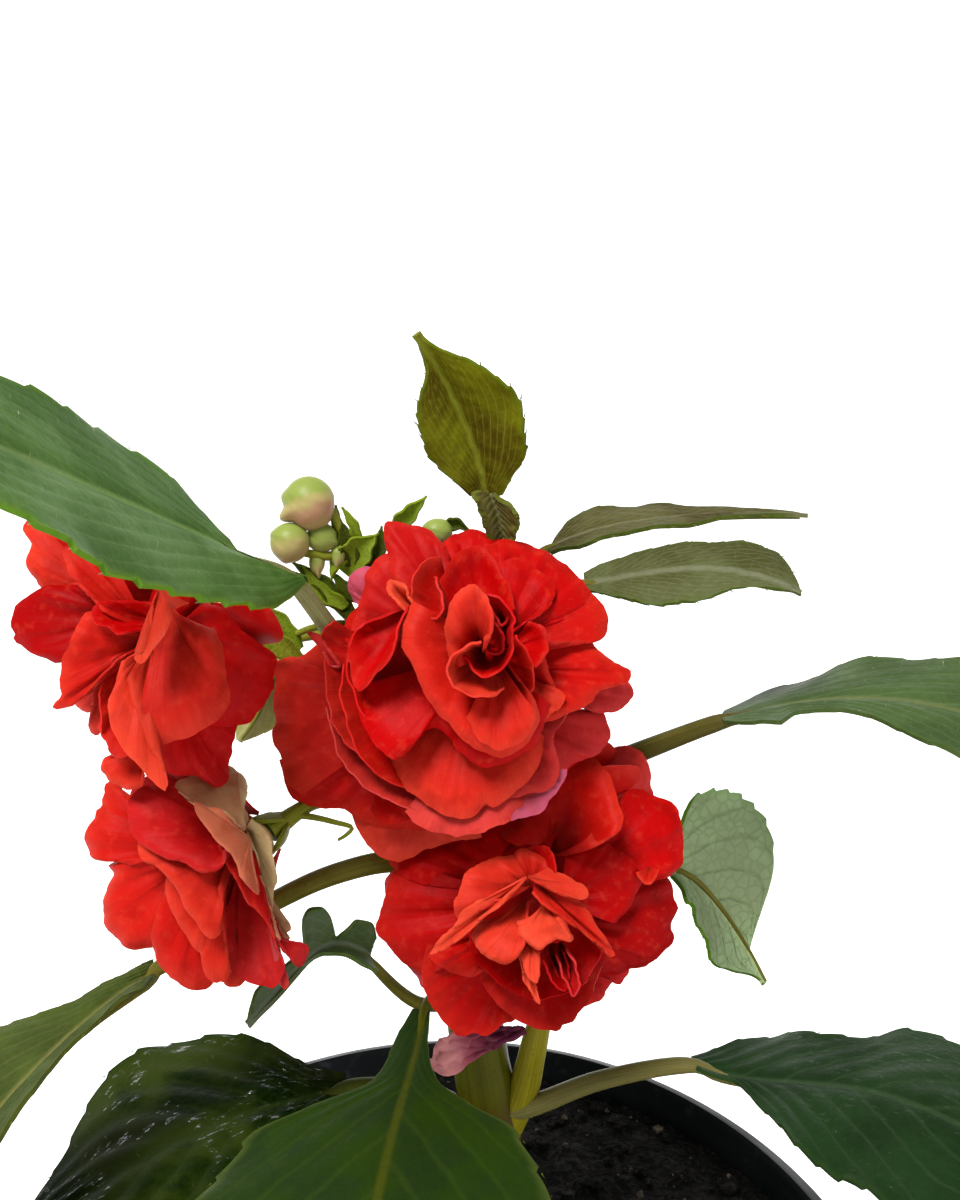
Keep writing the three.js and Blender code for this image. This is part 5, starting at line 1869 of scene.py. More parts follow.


# Each petal gives its root, its rim and its bow, then where given its painted light (painted shade below
# 0), its age and how pale it is.
CENTRE_PETALS = (
    # the rolled core
    Petal((482, 655, 7), ((452, 668, 11), (446, 645, 12), (448, 615, 14), (458, 592, 15), (470, 583, 15),
        (482, 592, 16), (492, 608, 17), (494, 625, 17), (486, 638, 16)), 2.4, 0.3, curl=0.4),
    Petal((486, 655, 5), ((480, 641, 14), (466, 646, 14), (453, 656, 14), (447, 670, 14), (452, 684, 14),
        (464, 692, 14), (480, 697, 14), (496, 694, 13), (503, 686, 11)), -1.5, 0.35, curl=-0.5),
    Petal((488, 648, 6), ((464, 654, 12), (472, 668, 13), (484, 676, 13.5), (498, 672, 13.5),
        (508, 660, 14), (513, 645, 14), (511, 630, 15), (516, 620, 15), (509, 606, 15), (497, 597, 14.5),
        (485, 594, 14)), -2.0, -0.2, curl=-0.3),
    Petal((494, 648, 6), ((480, 636, 12), (488, 652, 12.5), (497, 655, 13), (504, 640, 13.5),
        (500, 628, 13.5), (494, 622, 13)), -1.5, -0.3),
    Petal((500, 636, 7), ((486, 598, 13), (497, 603, 13.5), (508, 617, 14), (502, 624, 14), (492, 612, 13)),
        -1.0, -0.4),
    # the large front petals under the core
    Petal((492, 642, 1), ((412, 600, 9), (403, 622, 10), (402, 645, 10.5), (410, 662, 11), (420, 682, 11.5),
        (432, 705, 11.4), (446, 722, 11.4), (464, 740, 12), (482, 752, 11.5), (500, 756, 11.5),
        (518, 750, 11), (532, 736, 11), (538, 718, 10.5), (535, 703, 10), (524, 690, 9.5)), 2.6, 0.22,
        curl=1.0),
    Petal((494, 655, 5), ((466, 722, 11.6), (480, 741, 12.2), (498, 749, 12.2), (516, 744, 12.1),
        (530, 731, 11.8), (534, 712, 11.2)), 1.6, 0.25, fold=0.1, curl=0.4),
    Petal((480, 650, 0), ((358, 686, 4), (360, 714, 5.5), (368, 737, 7), (380, 752, 8), (394, 760, 8.5),
        (408, 750, 8), (418, 735, 7), (431, 727, 6.5), (445, 732, 7), (457, 748, 8), (472, 763, 8.4),
        (488, 768, 8.6), (502, 763, 8.6), (520, 755, 8.4), (537, 742, 8), (545, 722, 7.6), (549, 706, 7)),
        1.8, -0.15, curl=1.0),
    Petal((414, 603, 3), ((402, 611, 4), (380, 617, 4), (358, 629, 4), (348, 648, 4.5), (350, 671, 5.5),
        (359, 692, 8), (376, 672, 9.5), (393, 653, 10.5), (397, 632, 10.5), (407, 606, 9)), -2.0, 0.0,
        curl=0.3),
    Petal((475, 660, -2), ((388, 750, 2), (396, 772, 3.5), (408, 790, 4.5), (428, 806, 5.5),
        (452, 819, 6.5), (469, 820, 6.5), (478, 811, 6.2), (486, 804, 6), (492, 810, 6.2), (508, 799, 6.2),
        (528, 782, 6), (540, 763, 5.5), (545, 738, 4.5)), 1.6, 0.26, curl=1.0),
    Petal((338, 668, 0), ((307, 631, 1), (311, 631, 1), (331, 652, 1.5), (341, 664, 1.5), (331, 664, 1),
        (322, 652, 1)), 0.1, 0.2, 0.35, fold=0.05),
    # stacked rims down the left
    Petal((440, 690, 0), ((368, 625, 2.5), (352, 636, 3), (347, 660, 3.5), (351, 685, 4.5), (359, 706, 5),
        (372, 722, 5.4), (388, 731, 5.8)), -2.0, -0.05, curl=-0.3),
    Petal((440, 705, -1), ((344, 664, 1), (340, 690, 2.4), (347, 717, 3.4), (353, 744, 3.7),
        (366, 764, 3.7), (385, 779, 3.4), (408, 790, 3), (430, 802, 2.5), (455, 806, 2.5)), -2.2, 0.05,
        curl=-0.4),
    Petal((440, 690, -2), ((335, 622, -1), (319, 637, -0.5), (327, 660, 0.5), (326, 690, 1.5),
        (332, 716, 2), (341, 738, 2.4), (356, 753, 2.8)), -1.8, 0.1, 0.05, curl=-0.3),
    Petal((440, 715, -2), ((328, 708, 0), (336, 746, 1.4), (350, 770, 2), (374, 792, 2.3), (405, 806, 2.5),
        (440, 817, 2.5), (470, 822, 2)), -2.2, 0.15, 0.25, curl=-0.4),
    # pale and violet petals at the lower right
    Petal((490, 715, -1), ((480, 806, 4.5), (505, 801, 5), (530, 794, 5.2), (549, 789, 5.2), (557, 778, 5),
        (557, 755, 4.6), (554, 738, 4), (562, 720, 3), (573, 707, 2)), 0.6, 0.1, 0.4, curl=0.2),
    Petal((470, 725, -3), ((405, 812, 3), (424, 830, 4.4), (455, 836, 5), (485, 831, 5.4), (518, 819, 5.4),
        (541, 812, 5), (548, 799, 4.6), (562, 786, 4), (567, 771, 3)), 0.8, 0.3, 0.45, fold=0.3),
    Petal((510, 770, 0), ((512, 822, 5.4), (530, 816, 5.8), (543, 812, 5.6), (550, 800, 5.2),
        (563, 786, 4.6), (568, 770, 3.8)), 0.4, 0.3, 1.0, fold=0.15),
    # petals across the top
    Petal((490, 640, 0), ((441, 562, -2), (443, 545, -3), (457, 534, -4), (478, 532, -4), (497, 540, -4),
        (505, 552, -3)), 1.0),
    Petal((500, 640, 0), ((488, 545, -2), (503, 540, -3), (522, 543, -3.5), (545, 552, -3.5),
        (566, 566, -3.5), (581, 581, -3), (592, 597, -2.5), (585, 612, -2)), 1.4, 0.04),
    Petal((505, 655, 1), ((572, 580, -3), (596, 598, -2.5), (606, 614, -2), (607, 628, -1.5),
        (602, 639, -0.5), (576, 641, 1.5), (553, 643, 3.5), (543, 651, 5), (547, 668, 5), (551, 680, 4.5),
        (560, 691, 3.5)), 0.8, 0.14),
    Petal((480, 632, 3), ((441, 612, 6), (440, 585, 4), (450, 561, 2), (465, 549, 1), (481, 546, 0.5),
        (492, 556, 1), (502, 572, 2), (511, 592, 4), (516, 608, 6)), -1.5),
    Petal((500, 640, 4), ((497, 566, 0), (515, 558, -0.5), (538, 569, -0.5), (553, 583, 0), (554, 600, 1),
        (543, 613, 2), (525, 622, 4)), -0.6),
    Petal((455, 620, 0), ((402, 592, 1), (392, 572, 0), (386, 548, -1), (383, 530, -2), (387, 522, -2),
        (405, 524, -2.4), (425, 529, -2.4), (440, 541, -2), (447, 556, -1), (446, 575, 0)), 0.8, 0.05,
        0.08),
    Petal((452, 612, 3), ((440, 557, 1.5), (425, 561, 2.5), (415, 573, 3.5), (411, 590, 5), (414, 605, 7),
        (424, 616, 9), (436, 618, 9.5), (444, 608, 9.5), (440, 593, 9), (434, 577, 7.5)), -1.6, 0.15,
        curl=0.2),
    Petal((415, 608, 2), ((411, 603, 7.5), (408, 592, 6.5), (400, 584, 5.5), (390, 581, 4.5),
        (388, 586, 4.5), (391, 596, 5.5), (398, 605, 6.5), (406, 611, 6.5)), 0.6, 0.75, fold=0.15),
    Petal((430, 632, -1), ((350, 630, -2), (357, 612, -2), (363, 592, -1.6), (368, 573, -1.8),
        (375, 562, -2), (390, 556, -2), (397, 570, -1), (402, 590, 0)), 0.5, 0.05, 0.1),
    Petal((405, 630, -4), ((353, 602, -4), (349, 585, -4), (354, 572, -4), (366, 567, -4), (376, 574, -4)),
        0.4, 0.3, 0.95, fold=0.3),
    # petals on the right
    Petal((500, 668, 0), ((585, 632, -1), (599, 650, -0.4), (612, 661, 0.2), (624, 668, 0.4),
        (632, 673, 0.4), (627, 682, 1), (612, 686, 2), (599, 690, 2.6), (590, 702, 3.2), (574, 712, 4.2),
        (558, 719, 5), (544, 725, 5.6)), 1.2, 0.14),
    Petal((498, 668, 3), ((556, 688, 4.5), (566, 697, 5.2), (560, 708, 6), (550, 715, 6.6), (543, 725, 7),
        (537, 706, 7)), -0.8, 0.3, fold=0.2),
    Petal((498, 662, 4), ((516, 634, 8), (527, 652, 9), (534, 670, 9.5), (533, 686, 9.5), (526, 695, 9.5),
        (510, 698, 9)), -1.5, 0.05),
    Petal((508, 650, 3), ((530, 622, 4), (545, 630, 5), (549, 645, 6), (543, 660, 7), (536, 668, 7.6)),
        -1.0, 0.0),
    Petal((545, 685, -4), ((594, 676, -3), (612, 675, -3), (627, 681, -3), (632, 694, -3), (622, 708, -3),
        (606, 713, -3), (588, 710, -3)), 0.6, -0.2, 0.5, fold=0.25),
    Petal((500, 710, -3), ((572, 711, -3), (603, 713, -3.6), (608, 723, -3.6), (610, 738, -3.6),
        (601, 752, -3.4), (584, 759, -3), (568, 767, -2.4), (556, 777, -1.8)), 0.8, -0.1, 0.35),
    # the wide petals behind
    Petal((430, 700, -3), ((326, 632, -3), (313, 648, -4), (300, 657, -4.4), (282, 659, -4.6),
        (271, 666, -4.6), (276, 683, -4.2), (273, 702, -4), (275, 722, -4), (272, 738, -3.6),
        (275, 750, -3.6), (284, 760, -3.4), (284, 778, -3.2), (300, 796, -3)), 1.6, 0.22, 0.04, fold=0.35),
    Petal((430, 720, -4.5), ((279, 760, -4), (287, 790, -4.4), (301, 803, -4.6), (322, 809, -4.6),
        (345, 812, -4.6), (360, 821, -4.6), (385, 830, -4.2), (425, 832, -4)), 1.4, 0.12, 0.02, fold=0.35),
    Petal((450, 740, -6), ((352, 812, -6), (361, 838, -5.6), (374, 854, -5.2), (392, 863, -5),
        (403, 862, -5), (422, 851, -4.8), (450, 843, -4.4), (482, 838, -4)), 0.8, 0.4, 0.1),
)

LOW_PETALS = (
    # the hood over the core
    Petal((532, 884, 8), ((513, 857, 8), (492, 860, 9.5), (472, 870, 10.5), (460, 887, 11.5),
        (455, 904, 12), (459, 919, 12.5), (473, 912, 13), (492, 900, 13)), 1.6, 0.32, curl=0.2),
    Petal((527, 876, 12), ((478, 902, 13), (462, 915, 13), (446, 934, 12.6), (430, 955, 12), (449, 946, 13),
        (470, 929, 13.6), (496, 907, 14), (512, 893, 14)), 0.5, 0.6, fold=0.12, curl=0.2),
    Petal((532, 888, 8), ((512, 863, 8.4), (515, 854, 8.4), (524, 851, 8.4), (536, 854, 8.6), (546, 862, 9),
        (551, 876, 9.4)), 0.6, 0.25, 0.0, fold=0.2),
    Petal((541, 874, 8.5), ((522, 853, 7.6), (534, 847, 8), (545, 847, 8.8), (553, 856, 10), (557, 868, 11),
        (557, 878, 11)), -0.5, 0.0, fold=0.15, curl=0.2),
    Petal((527, 876, 11.5), ((545, 869, 10), (560, 874, 10.6), (575, 882, 11.2), (587, 888, 11.8),
        (590, 894, 12), (584, 899, 12.4), (568, 896, 12.8), (548, 886, 13)), 0.6, 0.42, fold=0.12,
        curl=0.2),
    Petal((535, 882, 10), ((578, 899, 11), (588, 913, 11.4), (598, 929, 11.6), (609, 943, 11.6),
        (615, 955, 11.2), (610, 959, 11.6), (598, 944, 12.6), (580, 929, 13), (560, 917, 13.2),
        (543, 903, 13.4), (532, 892, 13)), 0.6, 0.25, fold=0.15, curl=0.3),
    # lobes and straps inside the hood
    Petal((528, 895, 7), ((480, 922, 10), (474, 938, 12), (479, 950, 13.4), (490, 960, 14.4),
        (503, 964, 15), (515, 960, 15.2), (523, 950, 15), (524, 938, 14)), 2.4, 0.45, fold=0.2, curl=0.8),
    Petal((545, 900, 8), ((518, 922, 12), (522, 938, 14.6), (530, 948, 15.6), (541, 950, 15.8),
        (550, 945, 15.6), (560, 940, 15.2), (573, 942, 14.4), (570, 930, 13.6), (565, 918, 12)), 2.2, 0.65,
        fold=0.2, curl=0.8),
    Petal((530, 942, 12), ((521, 955, 13.4), (525, 967, 14.4), (530, 980, 15), (535, 984, 15),
        (540, 977, 14.8), (541, 965, 14.4), (539, 953, 13.6)), 0.5, 0.6, fold=0.1, curl=0.3),
    Petal((522, 948, 11), ((518, 957, 13), (524, 977, 13.6), (532, 993, 13.8), (540, 1006, 13.8),
        (537, 990, 13.8), (530, 970, 13.8)), 0.3, 0.65, fold=0.1, curl=0.1),
    Petal((551, 942, 9), ((541, 955, 13), (546, 968, 13.4), (553, 980, 13.6), (560, 989, 13.6),
        (566, 990, 13.2), (563, 975, 12.6), (557, 958, 12)), -0.6, -0.6, 0.0, fold=0.15, curl=-0.3),
    Petal((560, 942, 9), ((556, 955, 12.4), (562, 972, 13.2), (568, 988, 13.6), (573, 994, 13.6),
        (577, 990, 13.6), (577, 976, 13.6), (573, 960, 13.2), (566, 947, 12.4)), -1.2, -0.45, 0.1,
        fold=0.15, curl=-0.4),
    Petal((555, 943, 8), ((547, 950, 11), (553, 965, 11.6), (560, 980, 12.2), (567, 986, 12.2),
        (568, 970, 12), (564, 952, 11.6)), -0.8, -0.5, 0.0, fold=0.15, curl=-0.3),
    Petal((545, 885, 6), ((470, 925, 8), (472, 955, 9), (500, 985, 10), (540, 1000, 10), (575, 992, 10),
        (598, 965, 9), (600, 935, 9), (580, 905, 9)), -3.0, -0.3),
    # petals round the core
    Petal((530, 920, 5), ((456, 938, 8.4), (440, 947, 9), (430, 957, 9.4), (437, 967, 9.4), (449, 974, 9),
        (463, 977, 8.6), (478, 976, 8), (492, 970, 7.6)), -1.0, 0.1),
    Petal((545, 930, 3), ((480, 962, 5.5), (482, 981, 6.2), (493, 1000, 6.2), (512, 1018, 5.8),
        (530, 1028, 5.4), (546, 1032, 5), (558, 1032, 5), (563, 1026, 5), (574, 1022, 5), (584, 1008, 5),
        (595, 990, 5.4), (603, 968, 6)), -1.8, 0.05, 0.05),
    Petal((530, 930, 1), ((430, 942, 3), (421, 966, 3.4), (423, 990, 3.4), (433, 1009, 3.2),
        (447, 1027, 2.8), (459, 1036, 2.4), (478, 1033, 2.4), (487, 1036, 2.4), (503, 1026, 2.8),
        (522, 1018, 3.2)), -1.6, 0.1),
    Petal((560, 950, -1), ((572, 1005, 1), (588, 1006, 1), (600, 1002, 1), (607, 993, 1), (613, 984, 1),
        (619, 986, 1), (627, 977, 1), (632, 966, 1)), 0.5, 0.0, 0.2),
    Petal((560, 915, 1), ((596, 978, 3), (628, 971, 1.6), (648, 965, 1.4), (665, 953, 1.2), (674, 940, 1),
        (672, 926, 0.6), (678, 910, 0.2), (675, 897, 0.2), (669, 879, 0.2), (652, 866, 0.4)), 1.5, -0.65,
        0.0, fold=0.35),
    Petal((560, 900, 3), ((566, 851, 3.6), (590, 843, 3.8), (612, 846, 4), (628, 857, 4), (637, 868, 4),
        (641, 880, 4), (632, 902, 4.4), (616, 922, 5)), 0.8, -0.4, 0.0),
    Petal((650, 866, 2), ((637, 874, 4.4), (643, 884, 4.8), (649, 885, 4.8), (654, 879, 4.8),
        (660, 871, 4)), 0.2, 0.25, fold=0.1, curl=0.1),
    Petal((555, 890, 2), ((630, 786, -1), (655, 796, -1), (668, 801, -1), (679, 811, -1), (681, 828, -0.5),
        (684, 848, 0), (684, 862, 0.6), (676, 872, 1.2), (666, 878, 1.6), (650, 878, 2)), 1.8, -0.05,
        fold=0.4),
    Petal((548, 856, -1), ((500, 838, 1), (530, 812, 0.6), (556, 775, 1), (574, 760, 1.6), (590, 757, 2.4),
        (602, 767, 3.6), (612, 782, 5), (619, 802, 6.4), (624, 820, 7.4), (619, 832, 8.2), (607, 839, 8.6),
        (595, 843, 8.8), (592, 835, 8)), 1.6, 0.15, fold=0.3, curl=1.0),
    Petal((575, 850, -1), ((590, 760, -2), (611, 750, -2), (628, 747, -2), (642, 753, -2), (648, 768, -2),
        (651, 784, -2), (654, 797, -2), (650, 812, -1.6)), 0.8, 0.15, 0.4),
    Petal((530, 890, 1), ((570, 800, -1), (525, 815, -0.6), (482, 832, -0.4), (450, 843, 0),
        (422, 850, 0.4), (406, 857, 0.6), (398, 868, 0.8), (412, 882, 1.4), (440, 874, 2)), 1.0, -0.1),
    Petal((530, 900, 1), ((408, 856, 0), (394, 871, 0.2), (387, 890, 0.4), (380, 912, 0.6), (376, 928, 0.8),
        (384, 942, 1.2), (397, 957, 1.6), (410, 967, 1.8), (424, 976, 2.2), (440, 965, 3)), 1.4, 0.05, 0.03,
        fold=0.5),
    Petal((440, 884, -1), ((404, 862, -1), (391, 873, -1), (385, 886, -1), (387, 897, -1), (398, 902, -1)),
        0.3, 0.1, 0.5, fold=0.2),
    Petal((450, 940, -1), ((400, 955, 0), (412, 970, 0), (421, 984, 0.4), (432, 1000, 0.6),
        (446, 1010, 0.8)), 0.3, 0.0, 0.7, fold=0.2),
)

LEFT_PETALS = (
    Petal((160, 588, 8), ((155, 603, 10), (151, 620, 12), (150, 636, 13), (144, 650, 14), (134, 659, 14.6),
        (137, 664, 14.6), (148, 655, 14.4), (161, 639, 14), (172, 620, 13), (174, 609, 12), (187, 603, 10)),
        0.6, 0.45, fold=0.15, curl=0.2),
    Petal((172, 608, 3), ((148, 700, 7), (140, 733, 9.6), (139, 744, 10.4), (155, 745, 10.8),
        (172, 741, 10.8), (188, 736, 10.6), (201, 731, 10.2), (213, 722, 9.6), (225, 712, 9),
        (227, 704, 8.6), (225, 680, 8), (223, 658, 7.4), (219, 642, 6.4), (211, 629, 5.4)), 2.6, 0.25, 0.04,
        fold=0.35),
    Petal((152, 646, 5), ((122, 664, 9), (113, 688, 10), (109, 712, 11), (113, 732, 11.6), (124, 750, 12),
        (138, 767, 12), (152, 782, 12), (162, 791, 12), (166, 786, 12), (164, 773, 12), (155, 757, 12),
        (144, 743, 11.6), (138, 722, 11), (133, 700, 10.4), (127, 680, 10)), 1.4, 0.45, fold=0.2, curl=0.4),
    Petal((156, 648, 2), ((121, 652, 6.4), (107, 664, 7.2), (99, 683, 7.6), (97, 703, 7.8), (99, 722, 8),
        (98, 735, 8), (105, 748, 8.4), (112, 757, 8.8), (121, 758, 9.2), (130, 752, 9.6)), -2.4, 0.1),
    Petal((154, 640, 4), ((102, 614, 6.4), (86, 613, 7), (73, 633, 7.4), (63, 655, 7.6), (58, 675, 7.6),
        (58, 690, 7.6), (61, 697, 7.6), (52, 708, 7.4), (62, 709, 7.6), (74, 703, 7.8), (87, 690, 8),
        (103, 672, 8.2), (126, 655, 8.2)), 0.8, 0.2),
    Petal((162, 625, 6), ((152, 604, 7.4), (125, 601, 7.8), (100, 603, 8), (89, 610, 8.4), (93, 621, 9),
        (107, 629, 9.4), (127, 634, 9.4)), -1.2, -0.1),
    Petal((156, 636, 4), ((112, 556, 3), (85, 552, 4), (63, 550, 5), (66, 565, 6), (74, 580, 6.6),
        (84, 592, 7.2), (92, 600, 7.6), (98, 608, 7.8)), 0.8, 0.2),
    Petal((142, 620, 2), ((92, 594, 3.6), (70, 585, 3.4), (50, 586, 3), (28, 595, 2.6), (13, 607, 2.2),
        (9, 619, 2), (10, 628, 2), (16, 631, 2.2), (12, 637, 2.2), (21, 648, 2.8), (40, 657, 3.6),
        (60, 662, 4.6), (74, 650, 5)), 1.2, -0.55),
    Petal((120, 600, 0), ((78, 580, 1.5), (58, 585, 1.5), (42, 588, 1.5), (32, 578, 1.2), (27, 566, 1),
        (28, 552, 0.8), (31, 545, 0.6), (26, 537, 0.4), (23, 527, 0.2), (28, 519, 0), (50, 522, 0),
        (78, 542, 0)), 1.0, 0.3),
    Petal((112, 678, 2), ((82, 690, 3.4), (73, 701, 3.6), (80, 710, 3.6), (89, 713, 3.6), (95, 704, 4)),
        0.3, 0.4, 0.3, fold=0.1),
    Petal((112, 676, 3), ((97, 686, 4.6), (91, 699, 5), (88, 716, 5), (90, 731, 5), (95, 735, 5.2),
        (101, 728, 5.6)), 0.3, 0.4, 0.3, fold=0.1),
    Petal((180, 630, 1), ((204, 602, 1), (222, 611, 0.4), (233, 623, 0), (248, 636, -0.4), (262, 645, -0.8),
        (275, 659, -1), (271, 672, -1), (273, 686, -1), (267, 699, -0.8), (256, 714, -0.4), (240, 726, 0),
        (222, 727, 1), (204, 722, 2.4)), 1.8, -0.25, 0.05, fold=0.5),
    Petal((170, 680, -1), ((233, 716, -1), (234, 738, -0.8), (230, 752, -0.6), (227, 765, -0.4),
        (227, 779, 0.4), (222, 787, 1), (214, 787, 1.6), (205, 782, 1.8), (190, 776, 1.8), (175, 775, 2.2),
        (163, 769, 2.8), (155, 752, 3.4)), 1.4, -0.05, 0.08, fold=0.4),
    Petal((152, 736, 3), ((116, 752, 5), (104, 760, 5), (102, 769, 5), (109, 780, 5.4), (118, 786, 5.8),
        (128, 790, 6), (138, 788, 6), (142, 775, 6.6)), 0.6, 0.3),
)

SIDE_PETALS = (
    Petal((250, 838, 7), ((222, 811, 8.4), (205, 806, 9), (194, 804, 9.6), (194, 812, 10.2),
        (205, 826, 10.8), (220, 842, 11), (230, 855, 11), (240, 874, 10.6), (251, 891, 10), (258, 895, 9.4),
        (255, 875, 8.8)), 0.5, 0.3, 0.3, 0.3, fold=0.12, curl=0.2),
    Petal((247, 830, 5), ((236, 776, 1), (206, 772, 2), (180, 780, 3.6), (174, 787, 5), (190, 800, 7),
        (208, 808, 8), (222, 811, 8.4), (234, 819, 8)), 0.8, 0.1, 0.2, 0.62, fold=0.12, curl=0.2),
    Petal((246, 830, 4), ((170, 784, 5), (142, 789, 6), (129, 803, 6.8), (127, 818, 7.4), (132, 836, 8),
        (143, 846, 8.6), (158, 854, 9), (178, 862, 9.6), (195, 870, 10), (208, 873, 10), (222, 867, 10),
        (224, 850, 9.6)), 1.4, -0.1, 0.16, fold=0.12, curl=0.5),
    Petal((236, 846, 3), ((150, 838, 5.6), (139, 842, 6.4), (138, 852, 7), (145, 862, 7.6), (160, 868, 8),
        (170, 882, 8.4), (182, 903, 8.8), (195, 924, 9), (208, 939, 9), (216, 938, 9), (220, 915, 8.4),
        (218, 890, 8)), 1.4, 0.3, fold=0.15, curl=0.5),
    Petal((252, 848, 5), ((218, 842, 9), (223, 862, 9.8), (233, 880, 9.8), (243, 898, 9.6), (254, 911, 9),
        (266, 924, 8.4), (276, 941, 7.4), (264, 905, 7.4)), -0.6, 0.05, 0.1, fold=0.2),
    Petal((226, 858, 2), ((166, 880, 5.4), (168, 902, 6), (176, 922, 6.6), (190, 942, 6.8), (199, 957, 6.8),
        (203, 973, 6.8), (211, 984, 6.6), (223, 984, 6.4), (228, 974, 6.4), (226, 955, 6.4),
        (222, 930, 6.4)), 1.2, 0.28, fold=0.15, curl=0.6),
    Petal((216, 855, 1), ((170, 880, 3.8), (157, 908, 4.4), (151, 932, 4.6), (153, 953, 4.6),
        (161, 968, 4.6), (175, 981, 4.6), (188, 990, 4.4), (200, 992, 4.4), (210, 986, 4.4),
        (215, 970, 4.6)), 1.8, 0.16, fold=0.2, curl=0.7),
    Petal((202, 842, 0), ((136, 800, 3), (120, 793, 2), (112, 782, 1), (104, 784, 1), (102, 797, 1.2),
        (100, 807, 1.4), (94, 812, 1.6), (96, 816, 1.8), (87, 826, 2), (83, 838, 2.2), (86, 851, 2.4),
        (95, 861, 2.8), (108, 862, 3.2), (126, 866, 3.6)), 1.8, 0.18, fold=0.3, curl=0.8),
    Petal((206, 850, 0), ((128, 860, 2.6), (108, 866, 2.4), (114, 875, 2.4), (107, 886, 2.2),
        (103, 902, 2.2), (103, 920, 2.4), (108, 935, 2.6), (118, 940, 2.8), (122, 946, 3), (136, 950, 3.2),
        (152, 949, 3.6), (164, 932, 4)), 2.2, 0.2, fold=0.2, curl=0.8),
    Petal((240, 860, 1), ((220, 925, 4), (224, 955, 4.6), (230, 972, 4.8), (240, 980, 4.8), (252, 985, 4.8),
        (263, 988, 4.8), (273, 989, 4.6), (280, 982, 4.6), (282, 968, 4.6), (277, 950, 4.8), (271, 933, 5),
        (264, 912, 5.4)), -1.6, -0.1, 0.2, fold=0.3),
    Petal((236, 925, 2), ((222, 980, 3.4), (228, 987, 3.6), (236, 987, 3.6), (244, 980, 3.6),
        (242, 968, 3.4)), 0.3, 0.3, fold=0.1),
    Petal((262, 888, 3), ((264, 900, 5), (269, 918, 5.4), (275, 933, 5.2), (282, 946, 5), (286, 946, 5),
        (280, 931, 4.6), (273, 914, 4.6), (267, 898, 4.6)), 0.3, -0.35, 0.12, fold=0.05, curl=0.1),
    Petal((279, 937, 4.9), ((280, 944, 5), (284, 952, 5), (289, 959, 4.9), (295, 965, 4.6), (301, 964, 4.4),
        (305, 957, 4.2), (307, 949, 4), (300, 945, 4), (291, 945, 4.2), (284, 940, 4.6)), 0.3, -0.35, 0.3,
        fold=0.1, curl=0.2),
    Petal((255, 868, 4), ((258, 884, 6), (264, 902, 6.2), (271, 920, 6), (279, 941, 5.6), (276, 926, 5.4),
        (271, 908, 5.6), (266, 890, 5.8), (262, 876, 5.8)), 0.3, 0.2, 0.1, 0.6, fold=0.05, curl=0.1),
    Petal((264, 900, 2), ((270, 930, 3.2), (277, 950, 3.4), (280, 970, 3.4), (280, 985, 3.4),
        (284, 989, 3.4), (289, 984, 3.4), (285, 970, 3.2), (280, 950, 3), (274, 930, 3)), 0.2, 0.2, 0.5,
        fold=0.05, curl=0.1),
    Petal((258, 880, 0), ((266, 905, 1.6), (276, 918, 1.6), (286, 924, 1.6), (290, 929, 1.6),
        (286, 932, 1.6), (290, 938, 1.6), (287, 943, 1.6), (281, 942, 1.6), (272, 930, 1.6)), 0.2, 0.2, 0.3,
        0.7, fold=0.1, curl=0.1),
    Petal((247, 836, 1), ((190, 776, 0), (210, 769, -0.6), (230, 768, -1), (241, 777, -1.2), (246, 792, -1),
        (244, 808, -0.4), (248, 826, 0.4)), 2.2, 0.0, 0.0, 0.92, fold=0.15, curl=0.6),
    Petal((247, 828, 2), ((252, 818, 3.6), (262, 826, 4), (269, 837, 4.4), (273, 852, 4.6), (275, 872, 4.6),
        (274, 892, 4.4), (270, 912, 4), (264, 892, 4.8), (257, 862, 5), (250, 840, 4.6)), 0.4, 0.0, 0.0,
        0.95, fold=0.1, curl=0.2),
    Petal((236, 822, 2), ((204, 776, 0), (175, 773, 0.4), (150, 775, 1.4), (135, 785, 2.4), (129, 797, 3.4),
        (138, 805, 4)), 0.8, -0.1, 0.3, fold=0.3),
    Petal((240, 850, -1), ((172, 872, -0.5), (180, 915, 0), (196, 950, 0.4), (214, 972, 0.6),
        (236, 975, 0.8), (256, 962, 1), (262, 930, 1), (262, 900, 1)), -0.6, -0.35, fold=0.2),
)


